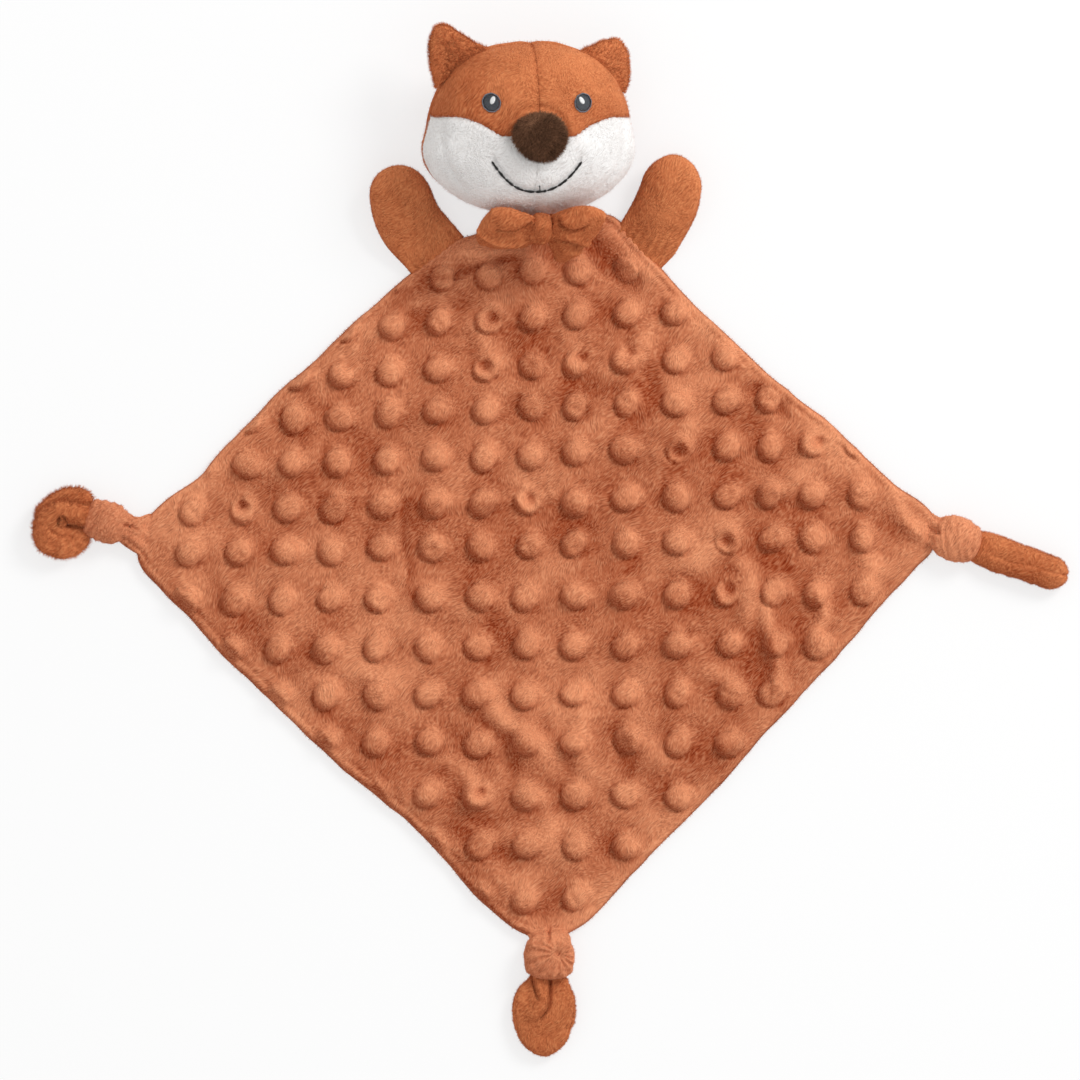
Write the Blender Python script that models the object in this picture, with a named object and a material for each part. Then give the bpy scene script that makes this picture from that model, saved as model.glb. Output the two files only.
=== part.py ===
"""Comfort blanket with a fox head, laid out on its back.

A square of dotted plush and its plain backing carry a gathered neck with a bow, a stuffed head,
two stuffed arms, and a knotted tail at each of the three free corners. Metres, +Z up, floor at
zero. The origin is the middle of the blanket and +Y runs to the head.
"""

import math
from collections import namedtuple

import bmesh
import bpy
from mathutils import Euler, Matrix, Vector

# Fabric, and the gaps between pieces
PLUSH_THICKNESS = 0.0012
STITCH_GAP = 0.0003
FLEX_GAP = 0.0006
ROLL_RADIUS = 0.003
OVERRUN = 0.01

# Blanket
BLANKET_SIDE = 0.256
BACK_PANEL_THICKNESS = 0.0022
FRONT_PANEL_THICKNESS = 0.0024
EDGE_BULGE = 0.0035
WAVE_HEIGHT = 0.0007
WAVE_LENGTH = 0.085
DOT_PITCH = 0.0215
DOT_DIAMETER = 0.012
DOT_HEIGHT = 0.0038
DOT_EDGE_MARGIN = 0.0012

# Neck and bow
NECK_ROOT_WIDTH = 0.050
NECK_RADIUS = 0.0085
NECK_LENGTH = 0.020
CHIN_REACH = 0.0045
BOW_WIDTH = 0.055
BOW_HEIGHT = 0.0285
BOW_DEPTH = 0.0085
BOW_RISE = 0.0340
BOW_SHIFT = 0.0008
BOW_SETBACK = 0.0027
BAND_WIDTH = 0.0115
BAND_HEIGHT = 0.0145
BAND_REACH = 0.0235
BAND_DROP = 0.0198

# Head
HEAD_WIDTH = 0.0945
HEAD_HEIGHT = 0.078
HEAD_FRONT_DEPTH = 0.032
HEAD_BACK_DEPTH = 0.0245
HEAD_SHIFT = 0.005
HEAD_LIFT = 0.0021
MUZZLE_HEIGHT = 0.0035
MUZZLE_SPREAD = 0.017
SEAM_HEIGHT = 0.006
SOCKET_DEPTH = 0.008
NOSE_WIDTH = 0.0245
NOSE_HEIGHT = 0.022
NOSE_DEPTH = 0.017
EYE_DIAMETER = 0.0086
EYE_SPACING = 0.0412
GLINT_WIDTH = 0.0021
GLINT_HEIGHT = 0.0034
THREAD_THICKNESS = 0.0006
MOUTH_WIDTH = 0.0405
MOUTH_THREAD_RADIUS = 0.0004
TICK_LENGTH = 0.0024

# Ears, arms and knotted tails
EAR_WIDTH = 0.0315
EAR_HEIGHT = 0.0165
EAR_THICKNESS = 0.0058
EAR_ROOT_RADIUS = 0.0016
ARM_WIDTH = 0.0290
ARM_LENGTH = 0.0435
ARM_THICKNESS = 0.0155
KNOT_ROOT_WIDTH = 0.0135
KNOT_HEIGHT = 0.0150
TAIL_ROOT_RADIUS = 0.0034
LEFT_KNOT_LENGTH = 0.0255
LEFT_KNOT_WIDTH = 0.0170
LEFT_TAIL_LENGTH = 0.0440
LEFT_TAIL_WIDTH = 0.0112
LEFT_TAIL_HEIGHT = 0.0140
LEFT_CURL_RADIUS = 0.0088
RIGHT_KNOT_LENGTH = 0.0205
RIGHT_KNOT_WIDTH = 0.0195
RIGHT_TAIL_LENGTH = 0.0371
RIGHT_TAIL_WIDTH = 0.0150
RIGHT_TAIL_HEIGHT = 0.0110
BOTTOM_KNOT_LENGTH = 0.0170
BOTTOM_KNOT_WIDTH = 0.0210
BOTTOM_TAIL_LENGTH = 0.0297
BOTTOM_TAIL_WIDTH = 0.0285
BOTTOM_TAIL_HEIGHT = 0.0088

# Places are shares of half the blanket's diagonal, and headings run outwards, from +X
HALF_DIAGONAL = BLANKET_SIDE / math.sqrt(2)
NECK_PLACE_SHARES = (0.004, 0.785)
ARM_LEFT_PLACE_SHARES = (-0.251, 0.729)
ARM_RIGHT_PLACE_SHARES = (0.260, 0.746)
LEFT_CORNER_PLACE_SHARES = (-0.972, 0.025)
BOTTOM_CORNER_PLACE_SHARES = (0.028, -0.978)
RIGHT_CORNER_PLACE_SHARES = (0.975, 0.031)
ARM_LEFT_HEADING = math.radians(124.5)
ARM_RIGHT_HEADING = math.radians(62.6)
LEFT_CORNER_HEADING = math.radians(162.0)
BOTTOM_CORNER_HEADING = math.radians(-91.0)
RIGHT_CORNER_HEADING = math.radians(-19.0)
HEAD_PITCH = math.radians(10.0)
HEAD_YAW = math.radians(8.0)
EAR_LEFT_HEADING = math.radians(139.0)
EAR_RIGHT_HEADING = math.radians(39.0)
EAR_LEFT_LEAN = math.radians(0.0)
EAR_RIGHT_LEAN = math.radians(-42.0)
BOW_TILT = math.radians(48.0)
BOW_TWIST = math.radians(-9.0)
# Where the middle dot lies, in shares of the dots' pitch
DOT_SHIFT_SHARES = (-0.228, -0.084)

HINGE_HEIGHT = ROLL_RADIUS + STITCH_GAP
PANEL_SETBACK = ROLL_RADIUS + FLEX_GAP
FRONT_PANEL_BASE = BACK_PANEL_THICKNESS + STITCH_GAP

Section = namedtuple("Section", "along across height half_width half_height bow turn", defaults=(0, 0))
# A rounded root: shares of its radius back, of its width, and of its radius up and down
ROOT_SECTION_SHARES = (
    (0.90, 0.90, 0.42),
    (0.50, 0.95, 0.84),
)


def clear_scene():
    for obj in list(bpy.data.objects):
        bpy.data.objects.remove(obj)


def make_collection(name):
    collection = bpy.data.collections.new(name)
    bpy.context.scene.collection.children.link(collection)
    return collection


def plush(name, colour, roughness):
    material = bpy.data.materials.new(name)
    material.use_nodes = True
    shader = material.node_tree.nodes["Principled BSDF"]
    shader.inputs["Base Color"].default_value = (*colour, 1)
    shader.inputs["Roughness"].default_value = roughness
    shader.inputs["Metallic"].default_value = 0
    return material


def add_object(name, mesh, material, frame):
    obj = bpy.data.objects.new(name, mesh)
    LOVEY.objects.link(obj)
    obj.parent = frame
    mesh.materials.append(material)
    mesh.shade_smooth()
    mesh.set_sharp_from_angle(angle=math.radians(50))
    return obj


def add_cutter(name, mesh, frame):
    obj = bpy.data.objects.new(name, mesh)
    CUTTERS.objects.link(obj)
    obj.parent = frame
    obj.hide_render = True
    obj.display_type = "WIRE"
    return obj


def add_frame(name, matrix, parent=None):
    frame = bpy.data.objects.new(name, None)
    LOVEY.objects.link(frame)
    frame.parent = parent
    frame.matrix_basis = matrix
    return frame


def cut(obj, cutter, operation="DIFFERENCE"):
    modifier = obj.modifiers.new(cutter.name, "BOOLEAN")
    modifier.operation = operation
    modifier.object = cutter


def plain_mesh(bm, name):
    mesh = bpy.data.meshes.new(name)
    bm.to_mesh(mesh)
    bm.free()
    return mesh


def mesh_from(bm, name):
    bmesh.ops.recalc_face_normals(bm, faces=bm.faces)
    return plain_mesh(bm, name)


def limb_matrix(place_shares, heading):
    """The frame of a limb's root on the blanket's edge: +Y outwards, +X along the line it flexes on."""
    place = Vector((place_shares[0] * HALF_DIAGONAL, place_shares[1] * HALF_DIAGONAL, HINGE_HEIGHT))
    return Matrix.Translation(place) @ Matrix.Rotation(heading - math.pi / 2, 4, "Z")


# Meshes


def slab_mesh(name, outline, low, high):
    bm = bmesh.new()
    face = bm.faces.new([bm.verts.new((x, y, low)) for x, y in outline])
    top = bmesh.ops.extrude_face_region(bm, geom=[face])["geom"]
    lifted = [item for item in top if isinstance(item, bmesh.types.BMVert)]
    bmesh.ops.translate(bm, verts=lifted, vec=(0, 0, high - low))
    return mesh_from(bm, name)


def superellipse(angle, squareness):
    """A point of the unit rounded square: squareness 2 is a circle."""
    across, up = math.cos(angle), math.sin(angle)
    reach = (abs(across) ** squareness + abs(up) ** squareness) ** (-1 / squareness)
    return across * reach, up * reach


def add_loft(bm, sections, sides, squareness=2.2, inwards=False):
    """A skin over rounded sections that face +Y, turned in the XY plane where they have a turn."""
    rings = []
    for section in sections:
        sideways = Vector((math.cos(section.turn), math.sin(section.turn), 0))
        forward = Vector((-sideways.y, sideways.x, 0))
        centre = Vector((section.across, section.along, section.height))
        ring = []
        for step in range(sides):
            across, up = superellipse(math.tau * (step + 0.5) / sides, squareness)
            point = centre + sideways * across * section.half_width - forward * section.bow * across**2
            ring.append(bm.verts.new(point + Vector((0, 0, up * section.half_height))))
        rings.append(ring)
    faces = [bm.faces.new(rings[0]), bm.faces.new(rings[-1])]
    for ring, following in zip(rings, rings[1:]):
        for step in range(sides):
            after = (step + 1) % sides
            faces.append(bm.faces.new((ring[step], ring[after], following[after], following[step])))
    bmesh.ops.recalc_face_normals(bm, faces=faces)
    if inwards:
        bmesh.ops.reverse_faces(bm, faces=faces)


def loft_mesh(name, sections, sides, squareness=2.2):
    bm = bmesh.new()
    add_loft(bm, sections, sides, squareness)
    return plain_mesh(bm, name)


def root_sections(radius, half_width):
    """The two sections that round a limb's root off behind the line it flexes on."""
    return [
        Section(-back * radius, 0, 0, width * half_width, height * radius)
        for back, width, height in ROOT_SECTION_SHARES
    ]


def cut_flat(bm, height, upper, cap):
    """Keeps what lies above or below a level, with the cut closed if cap is set."""
    geometry = bm.verts[:] + bm.edges[:] + bm.faces[:]
    found = bmesh.ops.bisect_plane(
        bm,
        geom=geometry,
        plane_co=(0, 0, height),
        plane_no=(0, 0, 1),
        clear_inner=upper,
        clear_outer=not upper,
    )
    if cap:
        rim = [item for item in found["geom_cut"] if isinstance(item, bmesh.types.BMEdge)]
        bmesh.ops.edgeloop_fill(bm, edges=rim)


def half_mesh(mesh, upper, cap):
    bm = bmesh.new()
    bm.from_mesh(mesh)
    level = STITCH_GAP / 2 if upper else -STITCH_GAP / 2
    cut_flat(bm, level, upper, cap)
    return mesh_from(bm, mesh.name + ("_front" if upper else "_back"))


# Blanket


def chord(limb):
    """Where the panels stop short of a limb's roll, from its +X end to its -X end."""
    matrix, width = limb
    ends = (Vector((side * width / 2, -PANEL_SETBACK, 0)) for side in (1, -1))
    return [(matrix @ end).xy for end in ends]


def bulged_edge(start, end, count):
    """The points between two corners of the blanket, on a shallow outward curve."""
    run = end - start
    outwards = Vector((run.y, -run.x)).normalized()
    shares = [step / count for step in range(1, count)]
    return [start + run * share + outwards * EDGE_BULGE * 4 * share * (1 - share) for share in shares]


def blanket_outline():
    neck, arm_left, left, bottom, right, arm_right = (chord(limb) for limb in LIMBS)
    edge_points = 7
    return [
        *neck,
        *arm_left,
        *bulged_edge(arm_left[1], left[0], edge_points),
        *left,
        *bulged_edge(left[1], bottom[0], edge_points + 2),
        *bottom,
        *bulged_edge(bottom[1], right[0], edge_points + 2),
        *right,
        *bulged_edge(right[1], arm_right[0], edge_points),
        *arm_right,
    ]


def depth_inside(point, outline):
    """How far a point lies inside the outline, which is convex and runs anticlockwise."""
    depths = []
    for start, end in zip(outline, outline[1:] + outline[:1]):
        run = (end - start).normalized()
        depths.append(run.cross(point - start))
    return min(depths)


def dot_centres(outline):
    reach = math.ceil(HALF_DIAGONAL / DOT_PITCH)
    steps = range(-reach, reach + 1)
    shift = Vector(DOT_SHIFT_SHARES)
    centres = [(Vector((column, row)) + shift) * DOT_PITCH for row in steps for column in steps]
    clearance = DOT_DIAMETER / 2 + DOT_EDGE_MARGIN
    return [centre for centre in centres if depth_inside(centre, outline) > clearance]


def wave(x, y):
    """The soft unevenness of the front panel, between -1 and 1."""
    turn = math.tau / WAVE_LENGTH
    return 0.6 * math.sin(turn * (x + 0.4 * y)) + 0.4 * math.cos(turn * (1.3 * y - 0.5 * x))


def front_panel_mesh(outline):
    bm = bmesh.new()
    rim = [bm.verts.new((x, y, 0)) for x, y in outline]
    for start, end in zip(rim, rim[1:] + rim[:1]):
        bm.edges.new((start, end))
    dots = []
    for centre in dot_centres(outline):
        place = Matrix.Translation(centre.to_3d())
        circle = bmesh.ops.create_circle(bm, segments=8, radius=DOT_DIAMETER / 2, matrix=place)
        dots.append(circle["verts"])
    bmesh.ops.triangle_fill(bm, use_beauty=True, edges=bm.edges[:])
    caps = [bm.faces.new(dot) for dot in dots]
    tips = bmesh.ops.poke(bm, faces=caps)["verts"]
    level = FRONT_PANEL_BASE + FRONT_PANEL_THICKNESS
    for vert in bm.verts:
        vert.co.z = level + WAVE_HEIGHT * wave(vert.co.x, vert.co.y)
    for tip in tips:
        tip.co.z += DOT_HEIGHT
    edges = [edge for edge in bm.edges if edge.is_boundary]
    lowered = bmesh.ops.extrude_edge_only(bm, edges=edges)["geom"]
    for item in lowered:
        if isinstance(item, bmesh.types.BMVert):
            item.co.z = FRONT_PANEL_BASE
    bmesh.ops.edgeloop_fill(bm, edges=[edge for edge in bm.edges if edge.is_boundary])
    return mesh_from(bm, "front_panel")


def make_blanket():
    frame = add_frame("blanket_frame", Matrix.Identity(4))
    outline = blanket_outline()
    back = slab_mesh("back_panel", outline, 0, BACK_PANEL_THICKNESS)
    add_object("blanket_back_panel", back, RUST_PLUSH, frame)
    add_object("blanket_front_panel", front_panel_mesh(outline), RUST_MINKY, frame)


# Arms

# Sections of an arm: share of its length, shares of its width and thickness, and how far its
# middle strays to the outer side, as a share of its width
ARM_SECTION_SHARES = (
    (-0.060, 0.46, 0.12, 0.00),
    (-0.045, 0.47, 0.28, 0.00),
    (0.000, 0.48, 0.38, 0.00),
    (0.110, 0.49, 0.52, 0.03),
    (0.300, 0.50, 0.78, 0.08),
    (0.520, 0.50, 1.00, 0.10),
    (0.740, 0.485, 0.98, 0.06),
    (0.880, 0.40, 0.80, 0.03),
    (0.960, 0.27, 0.54, 0.01),
    (1.000, 0.10, 0.20, 0.00),
)
ARM_SIDES = 16
ARM_THICKEST_SHARE = 0.52
# How much further in the padding stands where the skin slopes, and the least it may taper to
SLOPE_SHARE = 1.2
LEAST_PAD_SHARE = 0.3


def arm_sections(outer_side, inset):
    """The sections of the arm's skin, or of what fills it where an inset is given."""
    reach = 1 - 2 * inset / ARM_LENGTH
    sections = []
    for along, half_width, thickness, stray in ARM_SECTION_SHARES:
        place = ARM_LENGTH * (0.5 + (along - 0.5) * reach)
        across = outer_side * stray * ARM_WIDTH
        narrowed = half_width * ARM_WIDTH - inset * SLOPE_SHARE
        flattened = thickness * ARM_THICKNESS / 2 - inset * SLOPE_SHARE
        if flattened > inset * LEAST_PAD_SHARE:
            sections.append(Section(place, across, 0, narrowed, flattened))
    return sections


def make_arm(name, matrix, outer_side):
    """Two plush halves sewn round a pad of fibre, tilted so that the thick end clears the floor."""
    tilt = math.asin((ARM_THICKNESS / 2 - ROLL_RADIUS) / (ARM_THICKEST_SHARE * ARM_LENGTH))
    frame = add_frame(name + "_hinge", matrix @ Matrix.Rotation(tilt, 4, "X"))
    outline = [(-ARM_WIDTH, -OVERRUN), (ARM_WIDTH, -OVERRUN)]
    outline += [(x, ARM_LENGTH + OVERRUN) for x, _ in reversed(outline)]
    seam, far = STITCH_GAP / 2, ARM_THICKNESS
    for side, low, high in (("front", seam, far), ("back", -far, -seam)):
        bm = bmesh.new()
        add_loft(bm, arm_sections(outer_side, 0), ARM_SIDES)
        add_loft(bm, arm_sections(outer_side, PLUSH_THICKNESS), ARM_SIDES, inwards=True)
        panel = add_object(f"{name}_{side}_panel", plain_mesh(bm, name + side), RUST_PLUSH, frame)
        shape = slab_mesh(f"{name}_{side}_shape", outline, low, high)
        cut(panel, add_cutter(shape.name, shape, frame), "INTERSECT")
    padding = loft_mesh(name + "_filling", arm_sections(outer_side, PLUSH_THICKNESS + STITCH_GAP), ARM_SIDES)
    add_object(name + "_filling", padding, FIBRE, frame)


# Knotted tails

# Sections from the blanket's corner through the knot: share of the knot's length, and shares of
# its width and height
KNOT_SECTION_SHARES = (
    (0.00, 0.58, 0.46),
    (0.18, 0.60, 0.66),
    (0.30, 0.86, 0.90),
    (0.50, 1.00, 1.00),
    (0.72, 1.00, 1.00),
    (0.90, 0.80, 0.84),
    (1.00, 0.45, 0.50),
)
# Sections of a straight tail: share of its length, and shares of its width and height
STRAIGHT_TAIL_SHARES = (
    (0.00, 0.66, 0.80),
    (0.14, 0.90, 0.92),
    (0.45, 1.00, 1.00),
    (0.75, 0.96, 0.96),
    (0.92, 0.72, 0.76),
    (1.00, 0.32, 0.36),
)
PAW_TAIL_SHARES = (
    (0.00, 0.50, 0.84),
    (0.16, 0.74, 0.96),
    (0.40, 0.97, 1.00),
    (0.60, 1.00, 1.00),
    (0.80, 0.84, 0.90),
    (0.93, 0.54, 0.66),
    (1.00, 0.22, 0.34),
)
CURL_TAIL_SHARES = (
    (0.00, 0.62, 0.74),
    (0.10, 0.92, 0.94),
    (0.30, 1.00, 1.00),
    (0.60, 1.00, 1.00),
    (0.85, 0.92, 0.92),
    (0.96, 0.66, 0.70),
    (1.00, 0.34, 0.38),
)
TAIL_SIDES = 12
CURL_LEAD_SHARE = 0.10
CURL_STATIONS = 12

Tail = namedtuple("Tail", "knot_length knot_width length width height shares curl")
LEFT_TAIL = Tail(
    LEFT_KNOT_LENGTH,
    LEFT_KNOT_WIDTH,
    LEFT_TAIL_LENGTH,
    LEFT_TAIL_WIDTH,
    LEFT_TAIL_HEIGHT,
    CURL_TAIL_SHARES,
    LEFT_CURL_RADIUS,
)
RIGHT_TAIL = Tail(
    RIGHT_KNOT_LENGTH,
    RIGHT_KNOT_WIDTH,
    RIGHT_TAIL_LENGTH,
    RIGHT_TAIL_WIDTH,
    RIGHT_TAIL_HEIGHT,
    STRAIGHT_TAIL_SHARES,
    None,
)
BOTTOM_TAIL = Tail(
    BOTTOM_KNOT_LENGTH,
    BOTTOM_KNOT_WIDTH,
    BOTTOM_TAIL_LENGTH,
    BOTTOM_TAIL_WIDTH,
    BOTTOM_TAIL_HEIGHT,
    PAW_TAIL_SHARES,
    None,
)


def knot_sections(tail):
    """The gathered corner leaves its roll on the floor's side and swells into the knot."""
    sections = root_sections(ROLL_RADIUS, KNOT_ROOT_WIDTH / 2)
    for along, width, height in KNOT_SECTION_SHARES:
        half_height = max(height * KNOT_HEIGHT / 2, ROLL_RADIUS)
        half_width = width * tail.knot_width / 2
        middle = half_height - ROLL_RADIUS
        sections.append(Section(along * tail.knot_length, 0, middle, half_width, half_height))
    return sections


def tail_sections(tail):
    """A tail from its own root, straight along +Y or, where it has a curl, round an arc."""
    sections = root_sections(TAIL_ROOT_RADIUS, tail.shares[0][1] * tail.width / 2)
    stations = tail.shares
    if tail.curl:
        stations = refined(tail.shares, CURL_STATIONS)
    for along, width, height in stations:
        half_height = max(height * tail.height / 2, TAIL_ROOT_RADIUS)
        middle = half_height - TAIL_ROOT_RADIUS
        run = along * tail.length
        across, turn = 0, 0
        if tail.curl:
            lead = CURL_LEAD_SHARE * tail.length
            turn = max(run - lead, 0) / tail.curl
            across = -tail.curl * (1 - math.cos(turn))
            run = min(run, lead) + tail.curl * math.sin(turn)
        sections.append(Section(run, across, middle, width * tail.width / 2, half_height, 0, turn))
    return sections


def refined(shares, count):
    """The same table read at more stations, between its own by straight lines."""
    read = []
    for step in range(count + 1):
        place = step / count
        for low, high in zip(shares, shares[1:]):
            if low[0] <= place <= high[0]:
                part = (place - low[0]) / (high[0] - low[0])
                read.append([a + (b - a) * part for a, b in zip(low, high)])
                break
    return read


def make_corner(name, matrix, tail):
    knot_frame = add_frame(name + "_knot_hinge", matrix)
    mesh = loft_mesh(name + "_knot", knot_sections(tail), TAIL_SIDES)
    add_object(name + "_knot", mesh, RUST_PLUSH, knot_frame)
    reach = tail.knot_length + FLEX_GAP + TAIL_ROOT_RADIUS
    lift = TAIL_ROOT_RADIUS + STITCH_GAP - HINGE_HEIGHT
    tail_frame = add_frame(name + "_tail_hinge", Matrix.Translation((0, reach, lift)), knot_frame)
    mesh = loft_mesh(name + "_tail", tail_sections(tail), TAIL_SIDES)
    add_object(name + "_tail", mesh, RUST_PLUSH, tail_frame)


# Head

HEAD_SQUARENESS = 2.2
CHEEK_SHARE = 0.055
CHEEK_LINE_SHARE = -0.12
CHEEK_BLEND_SHARE = 0.22
MUZZLE_DROP_SHARE = -0.10
# The white mask's upper edge: shares of half the head's width, and of half its height
MASK_SHARES = (
    (0.00, 0.060),
    (0.30, 0.045),
    (0.42, 0.040),
    (0.52, 0.085),
    (0.64, 0.155),
    (0.78, 0.190),
    (1.30, 0.190),
)
NOSE_PLACE_SHARE = 0.075
NOSE_OUT_SHARE = 0.1
EYE_PLACE_SHARE = 0.425
GLINT_DRIFT_SHARE = 0.1
GLINT_TURN = math.radians(28)
MOUTH_END_SHARE = -0.27
MOUTH_LOW_SHARE = -0.635


def cheek_factor(height_share):
    """The head is fuller below its cheek line than above it."""
    return 1 - CHEEK_SHARE * math.tanh((height_share - CHEEK_LINE_SHARE) / CHEEK_BLEND_SHARE)


def muzzle(x, y):
    drop = MUZZLE_DROP_SHARE * HEAD_HEIGHT
    return MUZZLE_HEIGHT * math.exp(-(x**2 + (y - drop) ** 2) / (2 * MUZZLE_SPREAD**2))


def head_point(direction, offset):
    """The point of the head's skin in a direction from its middle, moved out by an offset."""
    reach = sum(abs(part) ** HEAD_SQUARENESS for part in direction) ** (-1 / HEAD_SQUARENESS)
    across, up, out = direction * reach
    x = (HEAD_WIDTH / 2 + offset) * cheek_factor(up) * across
    y = (HEAD_HEIGHT / 2 + offset) * up
    depth = HEAD_FRONT_DEPTH if out > 0 else HEAD_BACK_DEPTH
    bump = muzzle(x, y) if out > 0 else 0
    return Vector((x, y, (depth + offset) * out + bump * out))


def face_height(x, y, offset=0):
    """The height of the face above the head's middle, at a place seen from the front."""
    up = y / (HEAD_HEIGHT / 2 + offset)
    across = x / ((HEAD_WIDTH / 2 + offset) * cheek_factor(up))
    left_over = 1 - abs(across) ** HEAD_SQUARENESS - abs(up) ** HEAD_SQUARENESS
    out = left_over ** (1 / HEAD_SQUARENESS)
    return (HEAD_FRONT_DEPTH + offset) * out + muzzle(x, y) * out


def add_head_surface(bm, offset, inwards=False):
    sphere = bmesh.ops.create_uvsphere(bm, u_segments=28, v_segments=16, radius=1)
    for vert in sphere["verts"]:
        vert.co = head_point(vert.co.normalized(), offset)
    if inwards:
        faces = {face for vert in sphere["verts"] for face in vert.link_faces}
        bmesh.ops.reverse_faces(bm, faces=list(faces))


def head_mesh(name, offset):
    bm = bmesh.new()
    add_head_surface(bm, offset)
    return mesh_from(bm, name)


def head_shell_mesh(name, outer, inner):
    """A closed skin between two offsets of the head, which a cutter opens."""
    bm = bmesh.new()
    add_head_surface(bm, outer)
    add_head_surface(bm, inner, inwards=True)
    return plain_mesh(bm, name)


def mask_line():
    return [(x * HEAD_WIDTH / 2, y * HEAD_HEIGHT / 2) for x, y in MASK_SHARES]


def face_panel_outline(side, above):
    """One side of the face above or below the mask's edge, with half a gap at each seam."""
    shift = STITCH_GAP / 2 if above else -STITCH_GAP / 2
    seam = [(max(x, STITCH_GAP / 2), y + shift) for x, y in mask_line()]
    far = HEAD_HEIGHT if above else -HEAD_HEIGHT
    outline = [*seam, (seam[-1][0], far), (seam[0][0], far)]
    return [(side * x, y) for x, y in outline]


def make_head_panels(frame, socket):
    high = HEAD_FRONT_DEPTH + MUZZLE_HEIGHT + OVERRUN
    low = -HEAD_BACK_DEPTH - OVERRUN
    back_top = SEAM_HEIGHT - STITCH_GAP
    for side, hand in ((-1, "left"), (1, "right")):
        near, far = side * STITCH_GAP / 2, side * HEAD_WIDTH
        back_outline = [(near, -HEAD_HEIGHT), (far, -HEAD_HEIGHT), (far, HEAD_HEIGHT), (near, HEAD_HEIGHT)]
        pieces = (
            (f"forehead_{hand}", face_panel_outline(side, True), SEAM_HEIGHT, high, RUST_PLUSH),
            (f"cheek_{hand}", face_panel_outline(side, False), SEAM_HEIGHT, high, WHITE_PLUSH),
            (f"head_back_{hand}", back_outline, low, back_top, RUST_PLUSH),
        )
        for name, outline, bottom, top, material in pieces:
            shell = head_shell_mesh(name, 0, -PLUSH_THICKNESS)
            panel = add_object(name, shell, material, frame)
            shape = add_cutter(name + "_shape", slab_mesh(name + "_shape", outline, bottom, top), frame)
            cut(panel, shape, "INTERSECT")
            if not name.startswith("forehead"):
                cut(panel, socket)
    filling = head_mesh("head_filling", -PLUSH_THICKNESS - STITCH_GAP)
    cut(add_object("head_filling", filling, FIBRE, frame), socket)


def oval_outline(x, y, width, height, turn=0, points=12):
    outline = []
    for step in range(points):
        angle = math.tau * step / points
        across, up = width / 2 * math.cos(angle), height / 2 * math.sin(angle)
        swing = Vector((across, up)).to_3d()
        swing.rotate(Euler((0, 0, turn)))
        outline.append((x + swing.x, y + swing.y))
    return outline


def make_patch(name, outline, low, high, material, frame):
    """A layer of embroidery that follows the face, between two offsets from it."""
    patch = add_object(name, head_shell_mesh(name, high, low), material, frame)
    top = HEAD_FRONT_DEPTH + MUZZLE_HEIGHT + OVERRUN
    shape = add_cutter(name + "_shape", slab_mesh(name + "_shape", outline, 0, top), frame)
    cut(patch, shape, "INTERSECT")


def make_eyes(frame):
    eye_low, eye_high = STITCH_GAP, STITCH_GAP + THREAD_THICKNESS
    glint_low = eye_high + STITCH_GAP
    glint_high = glint_low + THREAD_THICKNESS
    y = EYE_PLACE_SHARE * HEAD_HEIGHT / 2
    drift = GLINT_DRIFT_SHARE * EYE_DIAMETER
    for side, hand in ((-1, "left"), (1, "right")):
        x = side * EYE_SPACING / 2
        outline = oval_outline(x, y, EYE_DIAMETER, EYE_DIAMETER)
        make_patch(f"eye_{hand}", outline, eye_low, eye_high, GREY_THREAD, frame)
        outline = oval_outline(x - drift, y + drift, GLINT_WIDTH, GLINT_HEIGHT, -side * GLINT_TURN, 8)
        make_patch(f"eye_glint_{hand}", outline, glint_low, glint_high, WHITE_THREAD, frame)


def make_thread(name, points, frame):
    curve = bpy.data.curves.new(name, "CURVE")
    curve.dimensions = "3D"
    curve.bevel_depth = MOUTH_THREAD_RADIUS
    curve.bevel_resolution = 1
    curve.use_fill_caps = True
    spline = curve.splines.new("POLY")
    spline.points.add(len(points) - 1)
    for point, place in zip(spline.points, points):
        point.co = (*place, 1)
    obj = bpy.data.objects.new(name, curve)
    LOVEY.objects.link(obj)
    obj.parent = frame
    curve.materials.append(BLACK_THREAD)


def make_mouth(frame):
    low = MOUTH_LOW_SHARE * HEAD_HEIGHT / 2
    rise = MOUTH_END_SHARE * HEAD_HEIGHT / 2 - low
    lift = STITCH_GAP + MOUTH_THREAD_RADIUS
    points = []
    for step in range(-8, 9):
        share = step / 8
        x, y = share * MOUTH_WIDTH / 2, low + rise * abs(share) ** 2.2
        points.append((x, y, face_height(x, y, lift)))
    make_thread("mouth_stitching", points, frame)
    tick_low = low + 2 * MOUTH_THREAD_RADIUS + STITCH_GAP
    heights = (tick_low, tick_low + TICK_LENGTH / 2, tick_low + TICK_LENGTH)
    make_thread("mouth_tick", [(0, y, face_height(0, y, lift)) for y in heights], frame)


def add_ball(bm, centre, half_sizes, inwards=False):
    ball = bmesh.ops.create_uvsphere(bm, u_segments=16, v_segments=10, radius=1)
    for vert in ball["verts"]:
        vert.co = centre + Vector(part * size for part, size in zip(vert.co, half_sizes))
    if inwards:
        faces = {face for vert in ball["verts"] for face in vert.link_faces}
        bmesh.ops.reverse_faces(bm, faces=list(faces))


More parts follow.
